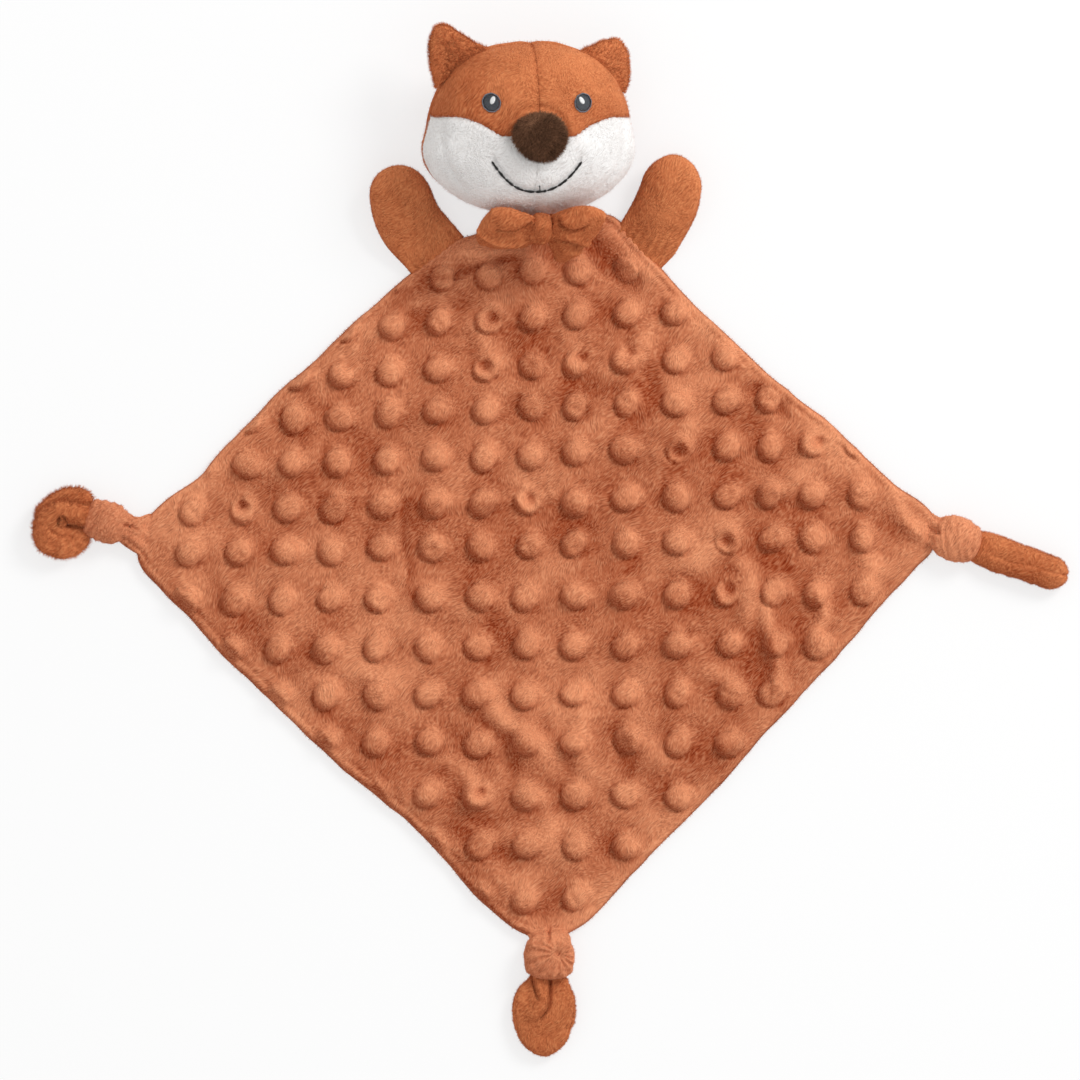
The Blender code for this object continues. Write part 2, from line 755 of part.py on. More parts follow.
def make_nose(frame):
    """A plush ball pressed on the muzzle, whose back follows the face."""
    y = NOSE_PLACE_SHARE * HEAD_HEIGHT / 2
    centre = Vector((0, y, face_height(0, y) + NOSE_OUT_SHARE * NOSE_DEPTH))
    sizes = Vector((NOSE_WIDTH, NOSE_HEIGHT, NOSE_DEPTH)) / 2
    skin = Vector((1, 1, 1)) * PLUSH_THICKNESS
    stitch = Vector((1, 1, 1)) * STITCH_GAP
    bm = bmesh.new()
    add_ball(bm, centre, sizes)
    add_ball(bm, centre, sizes - skin, inwards=True)
    cover = add_object("nose_cover", plain_mesh(bm, "nose_cover"), BROWN_PLUSH, frame)
    bm = bmesh.new()
    add_ball(bm, centre, sizes - skin - stitch)
    filling = add_object("nose_filling", mesh_from(bm, "nose_filling"), FIBRE, frame)
    face = add_cutter("nose_seat", head_mesh("nose_seat", STITCH_GAP), frame)
    cut(cover, face)
    cut(filling, face)


# Sections of an ear from its root to its tip: share of its height, shares of its width and
# thickness, how far its middle leans to the crown, and how its edge is hollowed to sit on the head
EAR_SECTION_SHARES = (
    (-0.055, 0.98, 0.40, 0.00, 0.040),
    (0.120, 0.96, 0.70, 0.01, 0.035),
    (0.380, 0.80, 1.00, 0.04, 0.020),
    (0.660, 0.60, 0.96, 0.09, 0.010),
    (0.880, 0.40, 0.70, 0.13, 0.005),
    (1.000, 0.18, 0.26, 0.14, 0.000),
)


def make_ear(hand, heading, lean, crown_side, head_frame):
    """Two layers on a line that just clears the head's side seam."""
    outwards = Vector((math.cos(heading), math.sin(heading), 0))
    ring = [head_point(Vector((math.cos(a), math.sin(a), 0)), 0) for a in (math.tau * s / 90 for s in range(90))]
    seat = max(point.dot(outwards) for point in ring) + EAR_ROOT_RADIUS + FLEX_GAP
    matrix = Matrix.Translation(outwards * seat) @ Matrix.Rotation(heading - math.pi / 2, 4, "Z")
    frame = add_frame(f"ear_{hand}_hinge", matrix @ Matrix.Rotation(lean, 4, "X"), head_frame)
    sections = []
    for along, width, thickness, to_crown, hollow in EAR_SECTION_SHARES:
        half_width = width * EAR_WIDTH / 2
        across = crown_side * to_crown * EAR_WIDTH
        half_height = thickness * EAR_THICKNESS / 2
        bow = hollow * EAR_WIDTH
        sections.append(Section(along * EAR_HEIGHT, across, 0, half_width, half_height, bow))
    ear = loft_mesh(f"ear_{hand}", sections, 14)
    for upper, side in ((True, "front"), (False, "back")):
        add_object(f"ear_{hand}_{side}", half_mesh(ear, upper, cap=True), RUST_PLUSH, frame)


def make_head(neck_frame, neck_place):
    socket_radius = NECK_RADIUS + FLEX_GAP
    socket_length = SOCKET_DEPTH + OVERRUN
    bm = bmesh.new()
    middle = NECK_LENGTH + FLEX_GAP - socket_length / 2
    across = Matrix.Translation((0, middle, 0)) @ Matrix.Rotation(math.pi / 2, 4, "X")
    bmesh.ops.create_cone(
        bm,
        cap_ends=True,
        segments=24,
        radius1=socket_radius,
        radius2=socket_radius,
        depth=socket_length,
        matrix=across,
    )
    socket = add_cutter("neck_socket", mesh_from(bm, "neck_socket"), neck_frame)
    frame = add_frame("head_frame", head_matrix(neck_place))
    make_head_panels(frame, socket)
    make_eyes(frame)
    make_mouth(frame)
    make_nose(frame)
    make_ear("left", EAR_LEFT_HEADING, EAR_LEFT_LEAN, 1, frame)
    make_ear("right", EAR_RIGHT_HEADING, EAR_RIGHT_LEAN, -1, frame)


def head_matrix(neck_place):
    x = neck_place.x - HEAD_SHIFT
    y = neck_place.y + CHIN_REACH + HEAD_HEIGHT / 2
    place = Vector((x, y, HEAD_BACK_DEPTH + HEAD_LIFT))
    return Matrix.Translation(place) @ Euler((HEAD_PITCH, HEAD_YAW, 0)).to_matrix().to_4x4()


# Neck and bow

# Sections from the roll on the blanket's edge up the neck: share of the neck's length, shares of
# the root's width, and shares of the neck's radius
NECK_SECTION_SHARES = (
    (0.00, 0.96, 0.34),
    (0.22, 0.80, 0.55),
    (0.38, 0.54, 0.80),
    (0.52, 0.34, 1.00),
    (1.00, 0.34, 1.00),
)
NECK_SIDES = 24
# Sections of the band from its front to the neck: share of its reach, shares of its width and
# height, and share of its drop towards the blanket
BAND_SECTION_SHARES = (
    (0.00, 0.84, 0.80, 0.00),
    (0.05, 1.00, 0.94, 0.00),
    (0.20, 1.00, 1.00, 0.00),
    (0.40, 1.00, 0.94, 0.18),
    (0.60, 1.00, 0.80, 0.45),
    (0.80, 1.00, 0.70, 0.74),
    (1.00, 1.00, 0.64, 1.00),
)
BOW_SECTION_SHARES = (
    (0.06, 0.34, 0.62),
    (0.28, 0.52, 0.92),
    (0.55, 0.78, 1.00),
    (0.78, 0.96, 0.96),
    (0.93, 0.92, 0.74),
    (1.00, 0.66, 0.34),
)


def neck_tilt():
    rise = HEAD_BACK_DEPTH + HEAD_LIFT - HINGE_HEIGHT
    return math.atan2(rise, CHIN_REACH + HEAD_HEIGHT / 2)


def neck_sections(offset):
    """A roll of gathered fabric that rises from the blanket's edge to a round neck in the head."""
    sections = root_sections(ROLL_RADIUS, NECK_ROOT_WIDTH / 2)
    for along, width, radius in NECK_SECTION_SHARES:
        half_height = max(radius * NECK_RADIUS, ROLL_RADIUS)
        sections.append(Section(along * NECK_LENGTH, 0, 0, width * NECK_ROOT_WIDTH / 2, half_height))
    return [
        section._replace(half_width=section.half_width + offset, half_height=section.half_height + offset)
        for section in sections
    ]


def make_neck(frame):
    mesh = loft_mesh("neck_gather", neck_sections(0), NECK_SIDES, squareness=2)
    add_object("neck_gather", mesh, RUST_PLUSH, frame)


def make_band(bow_frame, neck_frame):
    """The band closes round the bow's middle and runs back to where it is sewn on the neck."""
    sections = []
    for depth, width, height, drop in BAND_SECTION_SHARES:
        run = BOW_DEPTH / 2 + 2 * PLUSH_THICKNESS - depth * BAND_REACH
        half_width, half_height = width * BAND_WIDTH / 2, height * BAND_HEIGHT / 2
        sections.append(Section(run, 0, drop * BAND_DROP, half_width, half_height))
    band = add_object("bow_band", loft_mesh("bow_band", sections, 16, squareness=3), RUST_PLUSH, bow_frame)
    band.rotation_euler.x = math.pi / 2
    seat = loft_mesh("bow_seat", neck_sections(STITCH_GAP), NECK_SIDES, squareness=2)
    cut(band, add_cutter("bow_seat", seat, neck_frame))


def make_bow(frame, tilt):
    """Two loops pinched by a band, leaning on the chin. Their frame's +Z faces up and forward."""
    # The neck's frame is tilted, so the bow's place is turned back into it
    level = Matrix.Rotation(-tilt, 4, "X")
    place = Matrix.Translation((BOW_SHIFT, -BOW_SETBACK, BOW_RISE))
    lean = Matrix.Rotation(BOW_TILT, 4, "X") @ Matrix.Rotation(BOW_TWIST, 4, "Z")
    bow_frame = add_frame("bow_frame", level @ place @ lean, frame)
    for side, hand in ((-1, "left"), (1, "right")):
        reach = BOW_WIDTH / 2 - BAND_WIDTH / 2 - STITCH_GAP
        sections = []
        for along, height, depth in BOW_SECTION_SHARES:
            run = along * reach
            sections.append(Section(run, 0, 0, height * BOW_HEIGHT / 2, depth * BOW_DEPTH / 2))
        loop = loft_mesh(f"bow_loop_{hand}", sections, 14)
        obj = add_object(f"bow_loop_{hand}", loop, RUST_PLUSH, bow_frame)
        obj.rotation_euler.z = -side * math.pi / 2
        obj.location.x = side * (BAND_WIDTH / 2 + STITCH_GAP)
    make_band(bow_frame, frame)


clear_scene()
LOVEY = make_collection("comfort_blanket_lovey")
CUTTERS = make_collection("cutters")
RUST_MINKY = plush("rust_minky", (0.51, 0.155, 0.065), 0.85)
RUST_PLUSH = plush("rust_plush", (0.46, 0.125, 0.045), 0.88)
WHITE_PLUSH = plush("white_plush", (0.83, 0.81, 0.79), 0.90)
BROWN_PLUSH = plush("brown_plush", (0.060, 0.028, 0.017), 0.92)
FIBRE = plush("polyester_fibre", (0.86, 0.85, 0.82), 0.95)
GREY_THREAD = plush("grey_thread", (0.075, 0.082, 0.092), 0.55)
WHITE_THREAD = plush("white_thread", (0.80, 0.80, 0.80), 0.50)
BLACK_THREAD = plush("black_thread", (0.010, 0.010, 0.011), 0.60)

NECK = limb_matrix(NECK_PLACE_SHARES, math.pi / 2)
ARM_LEFT = limb_matrix(ARM_LEFT_PLACE_SHARES, ARM_LEFT_HEADING)
ARM_RIGHT = limb_matrix(ARM_RIGHT_PLACE_SHARES, ARM_RIGHT_HEADING)
LEFT_CORNER = limb_matrix(LEFT_CORNER_PLACE_SHARES, LEFT_CORNER_HEADING)
BOTTOM_CORNER = limb_matrix(BOTTOM_CORNER_PLACE_SHARES, BOTTOM_CORNER_HEADING)
RIGHT_CORNER = limb_matrix(RIGHT_CORNER_PLACE_SHARES, RIGHT_CORNER_HEADING)
# Anticlockwise round the blanket, each with the width of its root
LIMBS = (
    (NECK, NECK_ROOT_WIDTH),
    (ARM_LEFT, ARM_WIDTH),
    (LEFT_CORNER, KNOT_ROOT_WIDTH),
    (BOTTOM_CORNER, KNOT_ROOT_WIDTH),
    (RIGHT_CORNER, KNOT_ROOT_WIDTH),
    (ARM_RIGHT, ARM_WIDTH),
)

make_blanket()
make_arm("arm_left", ARM_LEFT, -1)
make_arm("arm_right", ARM_RIGHT, 1)
make_corner("left", LEFT_CORNER, LEFT_TAIL)
make_corner("bottom", BOTTOM_CORNER, BOTTOM_TAIL)
make_corner("right", RIGHT_CORNER, RIGHT_TAIL)
NECK_FRAME = add_frame("neck_hinge", NECK @ Matrix.Rotation(neck_tilt(), 4, "X"))
make_neck(NECK_FRAME)
make_bow(NECK_FRAME, neck_tilt())
make_head(NECK_FRAME, NECK.translation)
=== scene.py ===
"""The looks of a comfort blanket with a fox head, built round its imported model.

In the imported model's frame: the origin is the middle of the blanket on the floor, +Y runs to the
head and +Z up. Shapes are worked out in millimetres. Every soft solid is replaced by a piece here.
"""

import math
from contextlib import contextmanager

import bpy
import numpy as np
from mathutils import Euler, Matrix, Vector
from mathutils.bvhtree import BVHTree


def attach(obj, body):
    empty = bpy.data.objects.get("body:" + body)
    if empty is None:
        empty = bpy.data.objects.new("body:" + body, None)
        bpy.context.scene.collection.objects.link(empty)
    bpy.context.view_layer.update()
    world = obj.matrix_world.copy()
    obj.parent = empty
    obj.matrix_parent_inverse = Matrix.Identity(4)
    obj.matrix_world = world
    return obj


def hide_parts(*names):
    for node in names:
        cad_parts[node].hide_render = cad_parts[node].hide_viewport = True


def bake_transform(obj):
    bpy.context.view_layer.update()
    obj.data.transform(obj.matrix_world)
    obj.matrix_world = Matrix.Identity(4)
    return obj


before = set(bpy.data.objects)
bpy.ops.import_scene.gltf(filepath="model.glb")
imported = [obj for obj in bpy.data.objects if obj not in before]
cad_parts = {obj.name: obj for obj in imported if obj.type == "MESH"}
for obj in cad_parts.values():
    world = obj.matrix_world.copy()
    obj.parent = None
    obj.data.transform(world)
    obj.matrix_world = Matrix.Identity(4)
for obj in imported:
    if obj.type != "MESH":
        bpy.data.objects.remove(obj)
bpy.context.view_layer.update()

# Blanket back
# A square of plain short-pile polyester plush, sewn to the dotted front inside out and turned.
# It lies on the floor, pile down, and shows only at the rolled edge.

MM = 0.001
CLOTH_SIDE = 256.0
SEAM_LEVEL = 2.35
# Nothing goes lower than this above the floor
LOWEST = 0.05
# How far the rolled edge reaches into the cloth
ROLL = 3.2
# The way in which the pile is brushed: up and to the right, towards the lamp. The pile is painted lighter on
# slopes that face this way and painted darker on slopes that face back
BRUSHED_TOWARDS_LAMP = (0.66, 0.75)
# The blanket's four sides as they lie, each from corner to corner
SIDE_LOWER_RIGHT = (
    (4.5, -178.6), (22.7, -167.7), (47.7, -140.9), (74.5, -114.2), (99, -87.4), (124, -60.7),
    (147.6, -33.9), (167, -12.6), (175.4, -4.6), (178, 5),
)
SIDE_UPPER_RIGHT = (
    (178, 5), (176.4, 12.6), (169.6, 19), (154.3, 30.5), (128.4, 55.3), (106.1, 73.1), (86.5, 91),
    (67.8, 108.8), (56, 122), (44, 134.5), (36, 143.5), (27, 146.6), (14, 144.5), (1, 141.5),
)
SIDE_UPPER_LEFT = (
    (1, 141.5), (-14, 141), (-27, 138.6), (-38, 134.8), (-47, 128.5), (-60.2, 117.7), (-81.2, 99.9),
    (-99.9, 82.1), (-119.5, 64.2), (-136.5, 46.4), (-145.2, 37.4), (-150, 31), (-158, 25.6),
    (-165.6, 20.2), (-171.6, 14.6), (-176, 9), (-177.6, 2),
)
SIDE_LOWER_LEFT = (
    (-177.6, 2), (-178, -7), (-172, -16.5), (-154.8, -33.9), (-137.8, -51.7), (-120, -69.6),
    (-101.2, -87.4), (-81.2, -105.3), (-60, -122.6), (-41.9, -140.9), (-26.3, -158.8), (-10, -172),
    (4.5, -178.6),
)


def linear(code):
    """An sRGB hex colour in the linear values that a shader takes."""
    parts = [int(code[start : start + 2], 16) / 255 for start in (1, 3, 5)]
    return [part / 12.92 if part < 0.04 else ((part + 0.055) / 1.055) ** 2.4 for part in parts] + [1]


def add_node(tree, kind, feeds=(), **settings):
    """Adds a shader node. Feeds are its inputs, each with a value or the socket that feeds it."""
    node = tree.nodes.new("ShaderNode" + kind)
    for name, value in settings.items():
        setattr(node, name, value)
    for name, value in dict(feeds).items():
        if isinstance(value, bpy.types.NodeSocket):
            tree.links.new(value, node.inputs[name])
        else:
            node.inputs[name].default_value = value
    return node


def start_material(name):
    """A material with nodes: itself, its tree and the place of each point in its piece."""
    material = bpy.data.materials.new(name)
    material.use_nodes = True
    return material, material.node_tree, add_node(material.node_tree, "TexCoord").outputs["Object"]


def noise(tree, place, size, detail=1.0, roughness=0.5):
    """A noise node. The size of its lumps is in millimetres."""
    feeds = {"Vector": place, "Scale": 1000 / size, "Detail": detail, "Roughness": roughness}
    return add_node(tree, "TexNoise", feeds)


def feed_shader(tree, colour, relief, inputs):
    """Feeds the shader its colour, its relief and its plain inputs."""
    shader = tree.nodes["Principled BSDF"]
    tree.links.new(colour, shader.inputs["Base Color"])
    tree.links.new(add_node(tree, "Bump", relief).outputs["Normal"], shader.inputs["Normal"])
    for name, value in inputs.items():
        shader.inputs[name].default_value = value


def plush(name, colours, strand=(0.62, 2.6), patch=22.0, shading=0.58, relief=0.26, sheen=0.12):
    """Short polyester pile. Its strands lie in swirls and catch the light in streaks. An attribute of the
    piece says how light the pile looks: partly the pile's own, where it is pressed flat or differs in
    patches, and partly painted light and shade, lighter where the skin faces the lamp and painted darker
    where it faces away and in hollows, where real pile would show its darker roots.
    Real strands are 0.03 mm thick; the lengths here, in millimetres, are of the tufts they form."""
    swirl, change = 24.0, 11.0
    deep, middle, tip = (linear(colour) for colour in colours)
    material, tree, place = start_material(name)
    bent = {0: noise(tree, place, swirl).outputs["Color"], 1: (0.55 * swirl * MM,) * 3, 2: place}
    bent = add_node(tree, "VectorMath", bent, operation="MULTIPLY_ADD").outputs[0]
    layers = []
    for turn in (-0.8, -0.1):
        size = (strand[0] * MM, strand[1] * MM, strand[0] * MM)
        lay = {"Vector": bent, "Rotation": (0, 0, turn), "Scale": size}
        lay = add_node(tree, "Mapping", lay, vector_type="TEXTURE").outputs["Vector"]
        layers.append(noise(tree, lay, 1000).outputs["Fac"])
    pick = {"Value": noise(tree, place, change).outputs["Fac"], "From Min": 0.53, "From Max": 0.66}
    pick = add_node(tree, "MapRange", pick).outputs[0]
    strands = add_node(tree, "Mix", {0: pick, 2: layers[0], 3: layers[1]}).outputs[0]
    ramp = add_node(tree, "ValToRGB", {"Fac": strands})
    ramp.color_ramp.elements[0].position, ramp.color_ramp.elements[0].color = 0.3, deep
    ramp.color_ramp.elements[1].position, ramp.color_ramp.elements[1].color = 0.7, tip
    ramp.color_ramp.elements.new(0.5).color = middle
    # Painted light and shade: the attribute, with random patches, picks the colour between deep and tip
    nap_and_painted_shade = add_node(tree, "Attribute", attribute_name="nap_and_painted_shade").outputs["Fac"]
    cloud = noise(tree, place, patch, 3.0, 0.62).outputs["Fac"]
    nap_and_painted_shade = add_node(tree, "Math", {0: cloud, 1: nap_and_painted_shade}, operation="ADD").outputs[0]
    nap_and_painted_shade = add_node(tree, "MapRange", {"Value": nap_and_painted_shade, "From Min": 0.5, "From Max": 1.5}).outputs[0]
    shade = add_node(tree, "Mix", {0: nap_and_painted_shade, 6: deep, 7: tip}, data_type="RGBA").outputs[2]
    colour = {0: shading, 6: ramp.outputs["Color"], 7: shade}
    colour = add_node(tree, "Mix", colour, data_type="RGBA").outputs[2]
    inputs = {"Roughness": 0.9, "Specular IOR Level": 0.12}
    inputs |= {"Sheen Weight": sheen, "Sheen Roughness": 0.45, "Sheen Tint": tip}
    feed_shader(tree, colour, {"Height": strands, "Distance": relief * MM * 4, "Strength": 0.8}, inputs)
    return material


def drift(points, cell, seed):
    """Smooth noise between -1 and 1 that changes over one cell's length."""
    grid = points / cell + seed * 7.31
    low = np.floor(grid).astype(np.int64)
    part = grid - low
    part = part * part * (3 - 2 * part)
    total = np.zeros(points.shape[:-1])
    for corner in np.ndindex(2, 2, 2):
        # A hash gives each corner of the cell its own value
        node = low + corner
        mixed = node[..., 0] * 73856093 ^ node[..., 1] * 19349663 ^ node[..., 2] * 83492791 ^ seed * 97
        mixed = (mixed ^ (mixed >> 13)) * 1274126177
        value = ((mixed >> 8) & 0xFFFF) / 32767.5 - 1
        total += value * np.prod(np.where(corner, part, 1 - part), axis=-1)
    return total


def run_along(points):
    """How far along the line through them each point is."""
    return np.r_[0, np.cumsum(np.linalg.norm(np.diff(points, axis=0), axis=1))]


def curve_through(points, shares):
    """The rows of a smooth open curve through the given rows, at shares of its length."""
    points = np.array(points, float)
    padded = np.vstack([2 * points[0] - points[1], points, 2 * points[-1] - points[-2]])
    steps = run_along(points)
    run = np.clip(np.array(shares), 0, 1) * steps[-1]
    low = np.clip(np.searchsorted(steps, run, "right") - 1, 0, len(points) - 2)
    t = ((run - steps[low]) / (steps[low + 1] - steps[low]))[:, None]
    a, b, c, d = (padded[low + shift] for shift in range(4))
    return 0.5 * (2 * b + (c - a) * t + (2 * a - 5 * b + 4 * c - d) * t**2 + (3 * b - a - 3 * c + d) * t**3)


def ease(values, low, high):
    """0 below low, 1 above high, with a soft step between them."""
    t = np.clip((values - low) / (high - low), 0, 1)
    return t * t * (3 - 2 * t)


def notch(distance, width):
    """A smooth pinch: 1 on its line, nothing a few widths away."""
    return np.exp(-((distance / width) ** 2))


def rounded(share):
    """A round shoulder: a quarter circle that rises from 0, and 1 beyond a share of 1."""
    return np.sqrt(1 - (1 - np.clip(share, 0, 1)) ** 2)


def place_points(piece, points, material):
    """Gives a started piece its points, in millimetres, smooth shading and its material. Nothing
    goes below the floor."""
    points = np.column_stack([points[:, :2], np.maximum(points[:, 2], LOWEST)])
    piece.data.vertices.foreach_set("co", np.ascontiguousarray(points * MM, np.float32).ravel())
    piece.data.update()
    piece.data.polygons.foreach_set("use_smooth", [True] * len(piece.data.polygons))
    piece.data.materials.append(material)


def paint_nap_and_shade(piece, extra=0.0, lean=0.26, patches=0.16):
    """Says how light the pile looks, as painted light and shade: lighter where the cloth faces the way the
    pile is brushed, towards the lamp, and darker where it faces back, with random patches. Half is plain, and
    the extra is added."""
    normals = np.empty(len(piece.data.vertices) * 3, np.float32)
    piece.data.vertex_normals.foreach_get("vector", normals)
    points = points_of(piece) / MM
    # Painted light and shade: the side that faces the lamp is lighter and the side away from it darker
    nap_and_painted_shade = 0.5 + lean * normals.reshape(-1, 3) @ (*BRUSHED_TOWARDS_LAMP, 0) + extra
    nap_and_painted_shade += patches * (drift(points, 15, 17) + drift(points, 34, 19))
    layer = piece.data.attributes.get("nap_and_painted_shade") or piece.data.attributes.new("nap_and_painted_shade", "FLOAT", "POINT")
    layer.data.foreach_set("value", np.clip(nap_and_painted_shade, 0, 1).astype(np.float32))


def points_of(piece):
    """A mesh's points, in the mesh's own units."""
    found = np.empty(len(piece.data.vertices) * 3, np.float32)
    piece.data.vertices.foreach_get("co", found)
    return found.reshape(-1, 3).astype(float)


def start_grid(name, across, along):
    """A grid primitive, with each point's share of the way across and along it."""
    bpy.ops.object.select_all(action="DESELECT")
    bpy.ops.mesh.primitive_grid_add(x_subdivisions=across, y_subdivisions=along, size=2)
    piece = bpy.context.object
    piece.name = piece.data.name = name
    return piece, points_of(piece)[:, :2] / 2 + 0.5


def start_cloth(name, count):
    """A grid with its flat points pulled to the blanket's outline, and their depth inside it."""
    piece, share = start_grid(name, count, count)
    s, t = share[:, :1], share[:, 1:]
    steps = np.linspace(0, 1, 600)
    low, high = curve_through(SIDE_LOWER_RIGHT, steps), curve_through(SIDE_UPPER_LEFT, steps)[::-1]
    left, right = curve_through(SIDE_LOWER_LEFT, steps)[::-1], curve_through(SIDE_UPPER_RIGHT, steps)

    def at(side, place):
        return np.stack([np.interp(place[:, 0], steps, column) for column in side.T], 1)

    flat = (1 - t) * at(low, s) + t * at(high, s) + (1 - s) * at(left, t) + s * at(right, t)
    flat -= (1 - s) * (1 - t) * low[0] + s * (1 - t) * low[-1]
    flat -= (1 - s) * t * high[0] + s * t * high[-1]
    depth = np.min(np.hstack([s, 1 - s, t, 1 - t]), axis=1) * CLOTH_SIDE
    level = np.column_stack([flat, np.zeros(len(flat))])
    # The edge strays a little from its line, over long waves and short ones
    waves = ((0.9, 19, (31, 37)), (0.35, 7, (41, 43)))
    stray = sum(
        size * np.column_stack([drift(level, cell, seed) for seed in seeds])
        for size, cell, seeds in waves
    )
    flat += stray * (1 - ease(depth, 0, 14))[:, None]
    return piece, flat, depth


@contextmanager
def edit_mode():
    """Edit mode on the active piece, for the mesh operators in the block."""
    bpy.ops.object.mode_set(mode="EDIT")
    yield
    bpy.ops.object.mode_set(mode="OBJECT")


def close_under(level):
    """Closes the active piece, an open sheet, with a flat face at a level in millimetres."""
    with edit_mode():
        bpy.ops.mesh.select_all(action="DESELECT")
        bpy.ops.mesh.select_mode(type="EDGE")
        bpy.ops.mesh.select_non_manifold()
        bpy.ops.mesh.extrude_region_move(TRANSFORM_OT_translate={"value": (0, 0, 0)})
        bpy.ops.transform.resize(value=(0.985, 0.985, 0), center_override=(0, 0, level * MM))
        bpy.ops.mesh.edge_face_add()
        bpy.ops.mesh.select_all(action="SELECT")
        bpy.ops.mesh.normals_make_consistent(inside=False)


def declare(piece, slot, body, *nodes):
    """Says which body the piece rides on and which solids it stands for. The finish that it is given is not
    used.
    """
    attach(piece, body)
    if nodes:
        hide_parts(*nodes)


# Short polyester plush, sheared to about 1.5 mm: matt, with a soft glow where strands stand up
RUST_PLUSH = plush("rust_short_plush", ("#8a3612", "#c4693f", "#e5925f"))
back, flat, depth = start_cloth("blanket_backing", count=110)
level = np.hstack([flat, np.zeros((len(flat), 1))])
roll = (SEAM_LEVEL - 0.3) * rounded(depth / ROLL)
roll -= 0.1 * (1 + drift(level, 14, 4)) * ease(depth, 3, 9)
place_points(back, np.column_stack([flat, roll]), RUST_PLUSH)
close_under(-0.05)
# It was made pile up, and is turned over here
back_points = points_of(back)
back_points[:, 2] = (SEAM_LEVEL - 0.15) * MM - back_points[:, 2] - 0.05 * MM
back.data.vertices.foreach_set("co", back_points.astype(np.float32).ravel())
paint_nap_and_shade(back)
with edit_mode():
    bpy.ops.mesh.normals_make_consistent(inside=False)
declare(back, "rust_plush", "blanket", "blanket_back_panel")

# Blanket front
# A square of dotted minky: the same knit with a denser pile, heat-pressed into hollow domes 12 mm
# wide. It is crumpled a little, as it was laid down, and some domes are pushed in.

DOT_RADIUS = 5.75
DOT_RISE = 4.5
FRONT_LEVEL = 5.0
# The columns and rows of dots where the cloth lies flat, below its middle
DOT_COLUMNS = (
    -159.7, -136.9, -116, -95, -72.3, -49.5, -26.8, -5.6, 15.8, 38.8, 62.4, 85.2, 105.3, 124.7, 146.3,
)
DOT_ROWS = (
    121, 100.8, 79.4, 60.2, 39.9, 18.7, -0.7, -23.6, -45.9, -67.3, -88.8, -112.4, -135.1, -158.3,
)
# Domes whose tops are pushed in: the deepest place of each, and how wide it is
PITS = (
    (-20.6, 100.8, 4.6), (-24, 79.8, 4.6), (-83.4, 82, 4.8), (20, 83.8, 4.6), (42.2, 86.6, 5),
    (125.6, 46, 4.4), (-3.6, 21, 4.8), (62.6, 40.6, 4.8), (82.8, 1.2, 4.6), (85.4, -20.2, 4.8),
    (67.6, -39.2, 3.2), (-25.6, -110.6, 4.2), (-132.4, 17, 4),
)
# Dents in the tops of domes: place, depth and width
DENTS = (
    (-4.4, -2.4, 1.3, 3), (17.4, -3, 1.4, 3.2), (-47.2, -3.4, 1.2, 3), (59.6, 40.4, 1.4, 3.2),
    (58.8, 62.8, 1.3, 3), (-13.4, -87.2, 1.4, 3.2), (21, 58.8, 1.2, 3), (105, 20.8, 1.3, 3),
    (-69, -25, 1.2, 2.8), (37, -89.2, 1.4, 3),
)
# Marks where the cloth was folded in its packing, and the pile is pressed flat to one side: two
# ends, how far the mark reaches to its right, and how dark it is
MARKS = (
    (-57.8, 21.8, -58.6, -30, -9, 0.42), (-57.8, 21.4, -6, 19.6, 8, 0.13), (-98, 22.4, -77, 22, 9, 0.4),
    (38, 84, 56, 60, 9, 0.3), (104, -22, 103, -66, -8, 0.3),
)
# Folds that lie in the cloth: two ends, half width and height
FOLDS = (
    (104.4, -24, 104, -64, 2.8, 3.2), (125.6, -22, 124, -44, 2.6, 3), (94, 70, 112, 60, 3.2, -3),
    (92, 84, 108, 74, 3, 3), (126, 54, 150, 38, 4, 2.6), (-92, 20.5, 10, 21, 2.2, 0.9),
    (-60, 20, -58.5, -16, 1.6, -1), (-12, 82, -34, 96, 4, 2.4), (-24, 60, 6, 80, 5, 1.8),
    (-60, 104, -20, 128, 3.6, 2.6), (-100, 74, -66, 104, 4, 2), (-94, 88, -60, 116, 3, -1.6),
    (28, 74, 52, 92, 4.2, 2.4), (46, 36, 70, 54, 5, 2.4), (40, 48, 52, 76, 3.4, -1.8),
    (-22, -62, -2, -98, 5, 2.8), (-26, -76, -10, -104, 3.4, -2.2), (14, -70, 26, -104, 4.6, 2.4),
    (4, -78, 12, -104, 3, -1.8), (-44, -96, -24, -116, 4, 2.2), (40, -64, 58, -104, 5, 2.2),
    (32, -84, 44, -116, 3.4, -1.8), (-66, -70, -84, -52, 4.6, 2), (-34, -120, 20, -122, 3.6, -1.4),
    (-6, -112, 10, -140, 4.4, 2), (-40, -124, -12, -146, 3.4, -1.6), (60, -8, 92, 6, 5, 2.2),
    (88, -6, 96, -36, 3.4, 2.4), (74, -52, 92, -74, 4, 2), (-124, 26, -98, 48, 4.6, 1.8),
    (-118, -10, -96, 8, 4.4, 1.4), (-104, -46, -70, -38, 4.6, 1.4), (-40, -24, -8, -34, 5, 1.4),
    (20, -30, 50, -12, 4.6, 1.4), (96, 20, 120, 34, 4.2, 1.8), (140, 4, 158, -16, 4.4, 2.2),
    (160, 26, 173, -2, 3, 3.4), (-150, 2, -132, -22, 4, 1.6), (-50, 123, -8, 133.4, 3.4, 3.6),
    (-46, 118, -10, 126.6, 1.6, -2.6), (30, 144, 52, 122, 4, 3.4), (22, 137, 40, 114, 3.2, -3),
)


def beside(flat, x0, y0, x1, y1):
    """How far along a line and to its left the points are, and the line's length."""
    offset, run = flat - (x0, y0), np.array([x1 - x0, y1 - y0])
    length = np.linalg.norm(run)
    return offset @ run / length, offset @ np.array([-run[1], run[0]]) / length, length


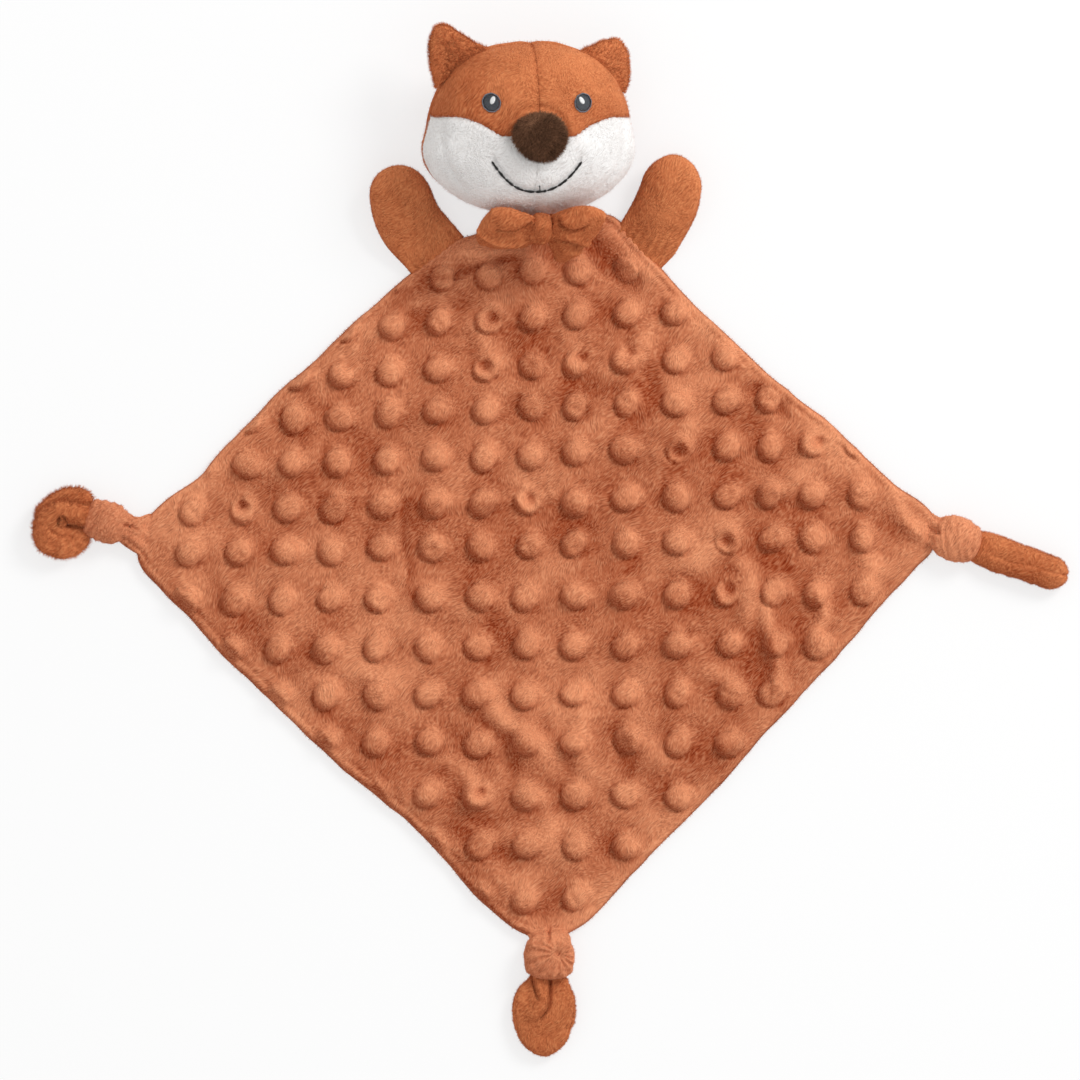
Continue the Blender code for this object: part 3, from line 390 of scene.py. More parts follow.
def fold_height(flat):
    """The height that the folds lying in the cloth add."""
    total = np.zeros(len(flat))
    for *line, width, height in FOLDS:
        along, across, length = beside(flat, *line)
        bend = width * 0.9 * np.sin(along / length * 4.5 + line[0])
        fade = width * 2
        ends = ease(along, -fade, fade) * (1 - ease(along, length - fade, length + fade))
        total += height * ends * np.exp(-(((across - bend) / width) ** 2) / 2)
    return total


def dot_place(column, row):
    """Where a dot lies. The cloth is drawn together towards the neck, and its rows rise to the
    right."""
    x, y = DOT_COLUMNS[column], DOT_ROWS[row]
    gathered = min(max((y + 47) / 147, 0), 1.1)
    return x + gathered * (2.7 - 0.06 * x), y + 0.037 * x * min(max((y + 90) / 148, 0), 1.2)


def polar(x, y):
    """The distance from a place, and the angle round it."""
    return np.hypot(x, y), np.arctan2(y, x)


def dot_height(flat, depth):
    """The height of the domes. Each is pressed a little differently, and the cloth dips round it."""
    total = np.zeros(len(flat))
    chance = np.random.default_rng(7)
    for row in range(len(DOT_ROWS)):
        for column in range(len(DOT_COLUMNS)):
            x, y = dot_place(column, row)
            stray = chance.normal(0, 0.45, 2)
            size, rise, turn, pinch, skew = chance.uniform(-1, 1, 5)
            near = np.hypot(flat[:, 0] - x - stray[0], flat[:, 1] - y - stray[1]) < DOT_RADIUS * 2
            if not near.any() or depth[near].max() < DOT_RADIUS * 1.35:
                continue
            offset = flat[near] - (x, y) - stray
            back = -(offset @ BRUSHED_TOWARDS_LAMP) / DOT_RADIUS
            c, s = math.cos(turn * 3), math.sin(turn * 3)
            offset = offset @ np.array([[c, -s], [s, c]])
            radius = DOT_RADIUS * (1.0 + 0.05 * size)
            reach = np.hypot(offset[:, 0] * (1 + 0.10 * pinch), offset[:, 1] * (1 - 0.08 * pinch)) / radius
            dome = np.sqrt(np.clip(1 - reach**2.6, 0, 1)) * DOT_RISE * (1 + 0.15 * rise)
            # The domes lean: steep at the back, and running out into the cloth in front
            run_out = 1.3 * np.clip(-back, 0, 1) * notch(reach - 1.05, 0.35)
            dome += run_out - 0.5 * np.clip(back, 0, 1) * notch(reach - 1.12, 0.14)
            dome *= 1 + 0.14 * skew * offset[:, 0] / radius
            crease = offset[:, 1] + 0.4 * offset[:, 0] - 1.2 * skew
            dome -= 0.8 * max(pinch, 0) * notch(crease, 0.9) * np.clip(1 - reach, 0, 1) ** 0.5
            lobes = np.sin(turn * 4 + 7 * np.arctan2(offset[:, 1], offset[:, 0]))
            dome += 0.16 * lobes * notch(reach - 0.55, 0.3)
            total[near] += dome * ease(depth[near], 1.0, 6.0)
    for x, y, width in PITS:
        pit, around = polar(flat[:, 0] - x, flat[:, 1] - y)
        total = total * (1 - 1.25 * notch(pit, width)) + 1.0 * notch(pit, width * 2.4)
        total += (0.3 * np.sin(3 * around + x) + 0.16 * np.sin(7 * around)) * notch(pit - width, 2.0)
    for x, y, dent_depth, width in DENTS:
        total -= dent_depth * notch(np.hypot(flat[:, 0] - x, flat[:, 1] - y), width)
    return total


def press_marks(flat):
    """How much darker the pressed pile looks beside the marks."""
    total = np.zeros(len(flat))
    for *line, reach, strength in MARKS:
        along, across, length = beside(flat, *line)
        across = 0.8 * np.sin(along * 0.35) - across * np.sign(reach)
        ends = ease(along, -3, 5) * (1 - ease(along, length - 8, length + 4))
        total -= strength * ends * ease(across, -0.6, 0.8) * np.exp(-np.clip(across, 0, None) / abs(reach))
    return total


def blurred(values, share, count, width):
    """A grid's values, each averaged over a square of 2 x width + 1 points."""
    column, row = (np.rint(share * count).astype(int)).T
    table = np.empty((count + 1, count + 1))
    table[row, column] = values
    for axis in (0, 1):
        padded = np.pad(table, [(width, width) if i == axis else (0, 0) for i in (0, 1)], mode="edge")
        total = np.cumsum(padded, axis=axis)
        span = 2 * width + 1
        first = np.take(total, [span - 1], axis=axis)
        rest = np.take(total, range(span, total.shape[axis]), axis=axis)
        start = np.take(total, range(0, total.shape[axis] - span), axis=axis)
        table = np.concatenate([first, rest - start], axis=axis) / span
    return table[row, column]


# Dotted minky: longer, silkier pile, so that it has broad light and dark patches
RUST_MINKY = plush("rust_dotted_minky", ("#842e0d", "#ca7048", "#f0a277"), shading=0.6, sheen=0.15)
FRONT_COUNT = 272
front, flat, depth = start_cloth("blanket_dotted_front", FRONT_COUNT)
front_share = points_of(front)[:, :2] / 2 + 0.5
level = np.hstack([flat, np.zeros((len(flat), 1))])
# The cloth's own waves: height, length and seed
WAVES = ((1.3, 46, 3), (1.5, 25, 5), (0.8, 13, 9), (0.22, 6, 13))
lift = sum(size * drift(level, cell, seed) for size, cell, seed in WAVES)
lift = (lift + fold_height(flat)) * ease(depth, 0, 16)
roll = (FRONT_LEVEL - SEAM_LEVEL) * rounded(depth / ROLL)
# The seam's allowance fills the rolled edge, and the cloth sinks behind it
roll -= (0.35 + 0.4 * drift(level, 9, 15)) * notch(depth - 4.6, 1.3)
roll += 0.4 * drift(level, 5, 11) * (1 - ease(depth, 2, 9))
height = SEAM_LEVEL + roll + lift + dot_height(flat, depth)
height = np.maximum(height, SEAM_LEVEL + 0.25 * np.clip(depth, 0, 1))
place_points(front, np.column_stack([flat, height]), RUST_MINKY)
# Painted shade: the pile is darker in the hollows round the domes and folds, and a little lighter on the
# raised cloth. The darker strips of pressed pile beside the fold marks are added in
painted_shade_and_marks = 0.15 * np.clip(height - blurred(height, front_share, FRONT_COUNT, 4), -1.7, 0.3)
painted_shade_and_marks += 0.15 * np.clip(height - blurred(height, front_share, FRONT_COUNT, 14), -2, 0.8) + press_marks(flat)
close_under(SEAM_LEVEL + 0.15)
# Painted shade on the closed underside of the rolled edge
painted_shade_and_marks = np.pad(painted_shade_and_marks, (0, len(front.data.vertices) - len(painted_shade_and_marks)), constant_values=-0.3)
# A strong lean paints each dome lighter on its side towards the lamp and darker on the side away from it
paint_nap_and_shade(front, painted_shade_and_marks, lean=0.62, patches=0.2)
declare(front, "rust_minky", "blanket", "blanket_front_panel")


def unit(vectors):
    """The same directions, each with a length of 1."""
    return vectors / np.linalg.norm(vectors, axis=-1, keepdims=True)


def add_object(name, data):
    """Puts a mesh, a camera or a lamp into the scene."""
    added = bpy.data.objects.new(name, data)
    bpy.context.scene.collection.objects.link(added)
    return added


def choose(piece, *others):
    """Makes a piece the active one, and selects it and some others."""
    bpy.ops.object.select_all(action="DESELECT")
    for chosen in (*others, piece):
        chosen.select_set(True)
    bpy.context.view_layer.objects.active = piece


def add_pile(piece, count, length, thickness, comb, spread, seed, weigh=None):
    """Adds loose strands of pile to a piece, each a thin closed spike of four faces rooted in the
    skin, with a length and thickness in millimetres. The comb is the way they are brushed,
    against 1 for standing straight up, and the spread is how far they stray from it. More of them
    grow where the weigh function gives more."""
    chance = np.random.default_rng(seed)
    piece.data.calc_loop_triangles()
    corners = np.empty(len(piece.data.loop_triangles) * 3, np.int32)
    piece.data.loop_triangles.foreach_get("vertices", corners)
    triangles = points_of(piece)[corners.reshape(-1, 3)] / MM
    normal = np.cross(triangles[:, 1] - triangles[:, 0], triangles[:, 2] - triangles[:, 0])
    area = np.linalg.norm(normal, axis=1)
    normal /= area[:, None] + 1e-12
    weight = area * (weigh(triangles.mean(axis=1), normal) if weigh else 1)
    chosen = chance.choice(len(area), count, p=weight / weight.sum())
    root = (triangles[chosen] * chance.dirichlet((1, 1, 1), count)[..., None]).sum(axis=1)
    brushed = comb(root, normal[chosen]) if callable(comb) else np.array(comb, float)
    way = normal[chosen] + brushed + chance.normal(0, spread, (count, 3))
    way = unit(way)
    side = unit(np.cross(way, chance.normal(0, 1, (count, 3))))
    other = np.cross(way, side)
    foot = root - way * 0.4
    half = thickness / 2 * chance.uniform(0.7, 1.2, (count, 1))
    tip = root + way * length * chance.uniform(0.55, 1.15, (count, 1))
    legs = (other * 0.87 - side * 0.5) * half, (other * 0.87 + side * 0.5) * half
    points = np.stack([foot + side * half, foot + legs[0], foot - legs[1], tip], axis=1).reshape(-1, 3)
    points[:, 2] = np.maximum(points[:, 2], LOWEST)
    first = np.arange(count)[:, None] * 4
    faces = np.concatenate([first + face for face in ((0, 2, 1), (0, 1, 3), (1, 2, 3), (2, 0, 3))])
    mesh = bpy.data.meshes.new(piece.name + "_pile")
    mesh.from_pydata((points * MM).tolist(), [], faces.tolist())
    mesh.materials.append(piece.data.materials[0])
    # Each strand has its own shade
    shade = np.repeat(np.clip(chance.uniform(0.3, 0.9, count) + 0.3 * drift(root, 5, seed), 0, 1), 4)
    mesh.attributes.new("nap_and_painted_shade", "FLOAT", "POINT").data.foreach_set("value", shade.astype(np.float32))
    choose(piece, add_object(mesh.name, mesh))
    bpy.ops.object.join()


def brush_edge(root, normal):
    """The loose strands of the edge point out of the blanket and lie over."""
    away = normal * (1, 1, 0)
    return 1.6 * away / (np.linalg.norm(away, axis=1)[:, None] + 0.05)


def weigh_edge(centre, normal):
    """Nearly all of them grow on the rolled edge, low down where the skin is steep."""
    return (centre[:, 2] < 4.2) * (normal[:, 2] < 0.75) * (normal[:, 2] > -0.2) + 1e-4


add_pile(front, 6400, 1.1, 0.2, brush_edge, spread=0.5, seed=91, weigh=weigh_edge)

# Arms
# Each is two halves of the plain plush, sewn round the rim, turned and stuffed with fibre. The
# open end is sewn into the blanket's side seam, where it is flattened.

ARM_ROOTS = {"left": ((-45.44, 131.96, 3.3), 124.5), "right": ((47.07, 135.04, 3.3), 62.6)}
ARM_TILT = 12.1
# The cloth of the sewn pieces, with its pile lying down
WALL = 1.1
# Rows down the middle of an arm: place, half width and half height
ARM_ROWS = {
    "left": (
        (-0.6, -5, 0, 14.2, 2), (-1.4, 0, 0, 14.4, 2.7), (-2.6, 8, 0, 14.6, 4.9),
        (-3.2, 15, 0, 14.7, 6.9), (-2.2, 22, 0, 14.5, 7.7), (0.2, 29, 0, 13.9, 7.4),
        (3.4, 35, 0, 13.4, 6.8), (7, 41, 0, 13, 6.4),
    ),
    "right": (
        (-0.4, -5, 0, 13.6, 2), (0.4, 0, 0, 13.8, 2.7), (1.4, 8, 0, 14, 4.9), (1.6, 15, 0, 14.1, 6.9),
        (1.2, 22, 0, 14, 7.7), (-0.4, 29, 0, 13.5, 7.4), (-2.2, 35, 0, 12.9, 6.8),
        (-4.4, 41.5, 0, 12.4, 6.4),
    ),
}


def root_frame(place, heading, tilt=0.0):
    """The frame of a limb's root: +Y runs outwards along its heading, which turns from +X."""
    turn = Matrix.Rotation(math.radians(heading - 90), 4, "Z")
    return Matrix.Translation(place) @ turn @ Matrix.Rotation(math.radians(tilt), 4, "X")


def limb_rings(rows, count, angles, end, start=0.0, squareness=2.2):
    """Rings of points along a limb, rounded off over a length at its start and its end."""
    shares = (1 - np.cos(np.linspace(0, np.pi, count))) / 2
    rows = curve_through(rows, shares)
    spine, half = rows[:, :3], rows[:, 3:]
    run = run_along(spine)
    if start:
        half = half * rounded(run / start)[:, None]
    half = half * rounded((run[-1] - run) / end)[:, None]
    forwards = unit(np.gradient(spine, axis=0))
    sideways = unit(np.cross(forwards, (0, 0, 1)))
    upwards = np.cross(sideways, forwards)
    across, up = np.cos(angles), np.sin(angles)
    reach = (np.abs(across) ** squareness + np.abs(up) ** squareness) ** (-1 / squareness)
    out = sideways[:, None] * (half[:, :1] * across * reach)[..., None]
    out += upwards[:, None] * (half[:, 1:] * up * reach)[..., None]
    return spine[:, None] + out


def swell(rings, amount):
    """Moves the skin outwards by an amount at each point."""
    closed = np.allclose(rings[:, 0], rings[:, -1], atol=1e-6)
    wide = np.concatenate([rings[:, -2:-1], rings, rings[:, 1:2]], axis=1) if closed else rings
    around = np.gradient(wide, axis=1)
    normal = np.cross(np.gradient(wide, axis=0), around)
    normal = normal[:, 1:-1] if closed else normal
    return rings + normal / (np.linalg.norm(normal, axis=2, keepdims=True) + 1e-9) * amount[..., None]


def moved(points, matrix):
    """The points of a piece's own frame, in the world's."""
    return points @ np.array(matrix.to_3x3()).T + np.array(matrix.translation)


def make_skin(name, rings, material, matrix, wall=0.0, nap_and_painted_shade=0.0):
    """A skin over rings of points. Its seam and ends are closed, or it gets a wall's thickness."""
    along, around = rings.shape[0] - 1, rings.shape[1] - 1
    piece, share = start_grid(name, around, along)
    column = np.rint(share[:, 0] * around).astype(int)
    row = np.rint(share[:, 1] * along).astype(int)
    place_points(piece, moved(rings[row, column], matrix), material)
    with edit_mode():
        bpy.ops.mesh.select_all(action="SELECT")
        bpy.ops.mesh.remove_doubles(threshold=2e-6)
        if wall:
            bpy.ops.mesh.flip_normals()
        else:
            bpy.ops.mesh.fill_holes(sides=0)
            bpy.ops.mesh.normals_make_consistent(inside=False)
    if wall:
        add_wall(piece, wall)
    paint_nap_and_shade(piece, nap_and_painted_shade)
    return piece


def add_wall(piece, wall):
    """Turns an open skin into cloth of a thickness, measured inwards."""
    choose(piece)
    solid = piece.modifiers.new("wall", "SOLIDIFY")
    solid.thickness = wall * MM
    solid.offset = -1
    bpy.ops.object.modifier_apply(modifier=solid.name)


def half_round(sign):
    """The angles round one of two layers that are sewn together: the front (1) or the back (-1)."""
    return (sign * np.linspace(0, np.pi, 61))[::sign]


def weigh_rim(least, steep):
    """More strands grow along a piece's rim, where its skin is steep."""
    return lambda centre, normal: least + (np.abs(normal[:, 2]) < steep)


def declare_bend(piece, node):
    """Says which solid a piece of rust plush stands for, and bakes the piece's place into its points."""
    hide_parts(node)
    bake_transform(piece)


FIBRE = plush("polyester_fibre", ("#d8d6d0", "#e8e6e1", "#f4f3f0"), patch=9.0)
for hand, (place, heading) in ARM_ROOTS.items():
    root = root_frame(place, heading, ARM_TILT)
    outwards = np.array(root.to_3x3() @ Vector((0, 1, 0)))
    for layer, sign in (("front", 1), ("back", -1)):
        angles = half_round(sign)
        rings = limb_rings(ARM_ROWS[hand], 110, angles, end=13.5, squareness=2.1)
        x, y, z = np.moveaxis(rings, 2, 0)
        rim = np.abs(np.sin(angles))[None, :] * 10
        lumps = 0.45 * drift(rings, 9, 2) + 0.2 * drift(rings, 4, 5)
        gathers = 0.35 * np.cos(x * 1.7) * (1 - ease(y, 0, 9))
        seam = 0.5 * notch(rim, 1.3) * ease(y, 2, 6)
        rings = swell(rings, lumps * ease(rim, 0, 4) + gathers - seam)
        arm = make_skin(f"arm_{hand}_{layer}_plush", rings, RUST_PLUSH, root, wall=WALL, nap_and_painted_shade=0.18)
        comb = outwards * 1.1 + (0.5, 0.5, 0)
        add_pile(arm, 3400, 1.0, 0.2, comb, spread=0.45, seed=11, weigh=weigh_rim(0.4, 0.5))
        declare_bend(arm, f"arm_{hand}_{layer}_panel")
    # The fibre keeps inside the cloth, and starts beyond the fold at the root
    rows = [
        (x * 0.95, y * 0.93 + 0.6, z, width - 1.9, max(height - 1.6, 1.0))
        for x, y, z, width, height in ARM_ROWS[hand][1:]
    ]
    rings = limb_rings(rows, 50, np.linspace(0, math.tau, 49), end=11.5, start=3)
    padding = make_skin(f"arm_{hand}_fibre", swell(rings, 0.3 * drift(rings, 4, 8) - 0.3), FIBRE, root)
    declare(padding, "polyester_fibre", f"arm_{hand}", f"arm_{hand}_filling")

# Knotted corners
# The blanket's three free corners are drawn out and tied in one overhand knot each, so the knot is
# a thick wrap of the same plush between a gathered neck and the tail.

CORNERS = {
    "left": ((-175.95, 4.53, 3.3), 162),
    "bottom": ((5.07, -177.04, 3.3), -91),
    "right": ((176.49, 5.61, 3.3), -19),
}
KNOT_ROWS = {
    "left": (
        (0, -3.6, -0.4, 9.6, 1.3), (-0.6, -0.6, 0, 9.2, 2.2), (-1, 3, 0.9, 7.4, 3.8),
        (-0.9, 7, 1.6, 6, 4.6), (-0.2, 9.6, 2.9, 6.6, 5.9), (0, 13, 4.1, 9, 7.1),
        (0, 17.6, 4.6, 9.5, 7.5), (0, 22.2, 4.2, 8.9, 7.1), (0, 27, 3.4, 7.6, 6.4),
    ),
    "bottom": (
        (0.5, -6.6, -0.4, 10.4, 1.3), (0.4, -4, 0.1, 9.4, 2.6), (0.2, -2, 1.2, 8.4, 4.1),
        (0, 0, 2.6, 9.6, 5.8), (0, 3.5, 4, 10.9, 7.1), (0, 8, 4.6, 11.2, 7.5),
        (0, 12.5, 4.3, 10.6, 7.2), (0, 17, 3.6, 9.2, 6.6),
    ),
    "right": (
        (0.4, -5, -0.4, 7.6, 1.3), (0.2, -2.4, 0.1, 7.8, 2.5), (0, 0.5, 0.9, 6.6, 3.8),
        (0, 3, 1.8, 8, 4.9), (0, 6, 3.6, 9.4, 6.6), (0, 11, 4.6, 10.2, 7.5), (0, 16, 4.3, 9.3, 7.2),
        (0, 21.6, 3.6, 7.6, 6.4),
    ),
}
# Where each knot's neck ends and its wrap begins
KNOT_WAIST = {"left": 9.0, "bottom": 0.5, "right": 2.0}
KNOT_UNDERSIDE = -3.1
AROUND = np.linspace(0, math.tau, 121)

for name, (place, heading) in CORNERS.items():
    root = root_frame(place, heading)
    rings = limb_rings(KNOT_ROWS[name], 130, AROUND, start=1.0, end=3.6, squareness=2.3)
    x, y, z = np.moveaxis(rings, 2, 0)
    wrap = ease(y, KNOT_WAIST[name] - 1, KNOT_WAIST[name] + 1.5)
    above = ease(z, 5.5, 9)
    pleats = 0.38 * np.cos(AROUND[None, :] * 9 + 0.25 * y)
    relief = pleats * (1 - wrap) * ease(y, -6, -1)
    relief += 0.45 * drift(rings, 6, 3) + 0.22 * drift(rings, 2.6, 6)
    if name == "left":
        lean = y - 17 + 0.55 * x
        lines = 0.3 * np.sin(lean * 1.7 + 1.5 * drift(rings, 5, 2))
        relief += wrap * (lines - 1.1 * above * notch(lean - 3.4, 0.7) * ease(-x, 0, 3))
        relief -= 1.9 * ease(z, 0, 2) * notch(x - 1.2, 1.0) * (1 - wrap) * ease(y, 0, 4)
    elif name == "bottom":
        away, turn = polar(x + 4.2, y - 5.4)
        rays = np.sin(turn * 15 + 0.9 * drift(rings, 5, 2)) * ease(away, 1, 5)
        relief += wrap * above * (0.55 * rays - 1.9 * notch(away, 1.5))
        relief -= 2.0 * ease(z, 0, 2) * notch(x - 0.5, 0.9) * (1 - wrap)
    else:
        lean = y - 11 - 0.35 * x - 0.02 * x**2
        lines = 0.16 * np.sin(lean * 1.6 + 1.2 * drift(rings, 5, 2))
        relief += wrap * (lines - 0.9 * above * notch(lean + 6.2, 0.7))
        relief -= 1.7 * ease(z, 0, 2) * notch(x, 1.0) * (1 - wrap)
    rings = swell(rings, relief * (1 - notch(rings[..., 1] - rings[-1, 0, 1], 1.0)))
    rings[..., 2] = np.maximum(rings[..., 2], KNOT_UNDERSIDE)
    knot = make_skin(f"{name}_corner_knot", rings, RUST_MINKY, root, nap_and_painted_shade=0.3)
    add_pile(knot, 2400, 0.9, 0.18, (0.4, 0.4, 0), spread=0.5, seed=21)
    declare_bend(knot, f"{name}_knot")

# Tails
# What is left of each corner beyond its knot: the left one has rolled up on itself, the bottom one
# is spread like a leaf and the right one is folded in two along its length.

TAIL_ROOTS = {
    "left": ((-204.01, 13.64, 3.7), 162),
    "bottom": ((4.7, -198.03, 3.7), -91),
    "right": ((199.66, -2.36, 3.7), -19),
}
LEAF_ROWS = (
    (0, -6, 0.2, 8, 3), (0.2, -2, 0.4, 9.8, 3.6), (0.8, 2.5, 0.8, 12.8, 4.1), (1.5, 8, 1, 14.1, 4.4),
    (1.8, 13, 1, 13.9, 4.4), (1.9, 19, 0.8, 12.4, 4.1), (1.7, 25, 0.5, 9.8, 3.8),
    (1.5, 30.6, 0.3, 7, 3.5),
)
FOLDED_ROWS = (
    (0, -6, 0.6, 6.8, 3.8), (0, -1, 1, 7.6, 4.6), (0.1, 6, 1.6, 7.9, 5.2), (0.3, 16, 1.9, 7.8, 5.4),
    (0.4, 26, 1.8, 7.4, 5.2), (0.2, 33, 1.4, 6.9, 4.8), (0, 38.5, 1, 6.3, 4.4),
)
TAIL_UNDERSIDE = -3.4
# The roll's middle, and the hollow that it winds round
ROLL_CENTRE = (-9.4, 5.55)
ROLL_HOLLOW = (-5.8, 6.7)
# The back layer behind the roll: its directions from the roll's middle and how far it reaches,
# and how far from the middle it starts
CREST_START = 10.5
CREST = (
    (-34, 19.5), (-22, 20.4), (-10, 20.4), (5, 19), (20, 17.4), (36, 16.2), (52, 15.3), (68, 14.8),
    (84, 14.2),
)


def rolled_rows():
    """The rolled tail: out of the knot, round a small hollow and back under its own start. It is
    twice as wide at the bottom of the roll."""
    rows = [(-0.6, -6.0, 4.4, 4.8, 4.4), (-0.5, -1.5, 4.8, 5.0, 4.8)]
    for step in range(13):
        turn = math.radians(14 + step * 23)
        way = np.array((math.cos(turn), math.sin(turn)))
        outer, inner = np.array(ROLL_CENTRE) + 12.9 * way, np.array(ROLL_HOLLOW) - 0.9 * way
        x, y = (outer + inner) / 2
        rows.append((x, y, 4.8 - 0.2 * step, np.linalg.norm(outer - inner) / 2, 5.2 - 0.16 * step))
    return rows


for name, (place, heading) in TAIL_ROOTS.items():
    root = root_frame(place, heading)
    if name == "left":
        rings = limb_rings(rolled_rows(), 190, AROUND, start=1.0, end=4.0, squareness=2.4)
        x, y, z = np.moveaxis(rings, 2, 0)
        relief = 0.5 * drift(rings, 6, 3) + 0.3 * drift(rings, 2.6, 6)
        away, turn = polar(x - ROLL_HOLLOW[0], y - ROLL_HOLLOW[1])
        above = ease(z, 3, 6)
        relief -= 0.9 * above * notch(away - 6.2 - 0.8 * np.cos(turn + 2.5), 1.0) * ease(-x, 9, 12)
        relief -= 2.2 * ease(z, 2, 5) * notch(away - 0.6, 1.3)
        relief += 0.2 * above * np.sin(turn * 17 + 1.5 * drift(rings, 4, 5)) * ease(away, 6, 9)
    elif name == "bottom":
        rings = limb_rings(LEAF_ROWS, 150, AROUND, start=1.0, end=8.0, squareness=2.6)
        x, y, z = np.moveaxis(rings, 2, 0)
        above = ease(z, 0.2, 2.0)
        # The lip of the lobe that lies on the other, which curves away to the left in the photo
        lip = x - 0.2 - 0.053 * np.clip(y - 5, 0, None) ** 2
        fade = 1 - ease(y, 11, 17)
        relief = 0.4 * drift(rings, 7, 3) + 0.22 * drift(rings, 3, 6)
        lobe = 1.9 * ease(lip, -0.4, 0.4) * (1 - ease(lip, 3, 9))
        relief += above * fade * (lobe - 1.8 * notch(lip + 0.8, 0.7))
        # A small pleat on the upper lobe, by the knot
        pleat = notch(x - 4.4 + 0.32 * y, 1.3) - 1.2 * notch(x - 6.4 + 0.3 * y, 0.5)
        relief += above * 1.3 * pleat * (1 - ease(y, 3, 7))
        relief -= above * 0.8 * notch(y - 22 - 0.25 * x, 5) * notch(x, 4)
        rim = 1 - np.abs(np.sin(AROUND))[None, :] * np.ones_like(x)
        relief -= above * 0.7 * notch(rim - 0.55, 0.07) * ease(y, 6, 12)
    else:
        rings = limb_rings(FOLDED_ROWS, 150, AROUND, start=1.0, end=6.6, squareness=2.3)
        x, y, z = np.moveaxis(rings, 2, 0)
        above = ease(z, 1.5, 4)
        crease = x - 2.6 + 0.085 * y + 0.4 * np.sin(y * 0.35)
        relief = 0.4 * drift(rings, 6, 3) + 0.22 * drift(rings, 2.6, 6)
        relief -= above * (0.6 * notch(crease, 0.8) * ease(y, 1, 6) + 0.25 * notch(crease + 1.6, 1.0))
        relief -= 0.8 * notch(crease, 0.7) * ease(y, 35, 38)
        relief -= 1.3 * notch(z + 0.6, 0.7) * ease(x, 2, 5)
    rings = swell(rings, relief)
    rings[..., 2] = np.maximum(rings[..., 2], TAIL_UNDERSIDE)
    tail = make_skin(f"{name}_corner_tail", rings, RUST_PLUSH, root, nap_and_painted_shade=0.06)
    if name == "left":
        # The back layer of the rolled tail, which stands up behind the roll
        crest = []
        for turn, reach in CREST:
            turn, middle = math.radians(turn), (reach + CREST_START) / 2
            x, y = ROLL_CENTRE[0] + middle * math.cos(turn), ROLL_CENTRE[1] + middle * math.sin(turn)
            crest.append((x, y, 0.6, (reach - CREST_START) / 2, 3.6))
        rings = limb_rings(crest, 90, AROUND[::3], end=6, start=5)
        rings = swell(rings, 0.4 * drift(rings, 4, 7))
        choose(tail, make_skin("left_tail_flap", rings, RUST_PLUSH, root, nap_and_painted_shade=0.06))
        bpy.ops.object.join()
    # The rolled tail is the shaggy one
    strand = (2.0, 0.28) if name == "left" else (1.0, 0.2)
    add_pile(tail, 5000, *strand, (0.3, 0.3, 0.1), spread=0.55, seed=31, weigh=weigh_rim(0.3, 0.6))
    declare_bend(tail, f"{name}_tail")

# Neck
# The blanket's top corner, drawn together with a thread and pushed into the open bottom of the
# head, where it is sewn in.

NECK = root_frame((0.72, 142.1, 3.3), 90.0, 28.17)
NECK_ROWS = (
    (0, -7, 0, 25, 2.2), (0, -2, 0, 24, 3), (0, 3, 0, 20.5, 4.4), (0, 7, 0, 14, 6.4),
    (0, 11, 0, 9.4, 8.2), (0, 16, 0, 8.3, 8.3), (0, 22, 0, 8, 8),
)
rings = limb_rings(NECK_ROWS, 80, AROUND, start=1.5, end=2.0, squareness=2.0)
pleats = np.cos(AROUND[None, :] * 13 + 0.8 * drift(rings, 6, 2))
rings = swell(rings, 0.5 * pleats * ease(rings[..., 1], -5, 2) * (1 - ease(rings[..., 1], 14, 18)) - 0.3)
neck = make_skin("gathered_neck", rings, RUST_PLUSH, NECK)
declare_bend(neck, "neck_gather")

# Head
# Six panels of plush sewn edge to edge and stuffed: two rust forehead halves, two white cheek
# halves and two rust back halves. The thread pulls every seam in, and the pile hides it.

HEAD_TILT = Euler((math.radians(10), math.radians(8), 0))
HEAD = Matrix.Translation((-4.28, 185.6, 26.6)) @ HEAD_TILT.to_matrix().to_4x4()
HEAD_HALF = (47.25, 39.0)
HEAD_FRONT, HEAD_BACK = 32.0, 24.5
# A ball's outline has a power of 2, and a squarer one has more
HEAD_POWER = 2.2
SIDE_SEAM = 1.2
EYE_X, EYE_Y = 20.6, 15.4
MOUTH_HALF, MOUTH_END, MOUTH_LOW = 20.25, -10.5, -24.8
NOSE_Y = 2.9
# The upper edge of the white panels, from the middle outwards
MASK_EDGE = (
    (0, 2), (14.2, 1), (17, 1.2), (19.5, 2.4), (22, 4.2), (24.6, 5.4), (30.2, 7.4), (34, 8),
    (36.5, 7.9), (41, 6.9), (47, 4.4), (61.4, 2.6),
)


def mask_height(x):
    """The height of the white panels' upper edge."""
    return np.interp(np.abs(x), *np.array(MASK_EDGE).T)


def mouth_height(x):
    """The height of the smile's line."""
    return MOUTH_LOW + (MOUTH_END - MOUTH_LOW) * (np.abs(x) / MOUTH_HALF) ** 2.2


def head_points(direction, offset=0.0):
    """The head's skin in the directions from its middle, before the seams pull it in."""
    reach = (np.abs(direction) ** HEAD_POWER).sum(axis=1) ** (-1 / HEAD_POWER)
    across, up, out = (direction * reach[:, None]).T
    cheek = 1 - 0.055 * np.tanh((up + 0.12) / 0.22)
    x, y = (HEAD_HALF[0] + offset) * cheek * across, (HEAD_HALF[1] + offset) * up
    muzzle = 3.5 * np.exp(-(x**2 + (y + 7.8) ** 2) / (2 * 17.0**2))
    depth = np.where(out > 0, HEAD_FRONT + muzzle, HEAD_BACK) + offset
    return np.column_stack([x, y, depth * out])


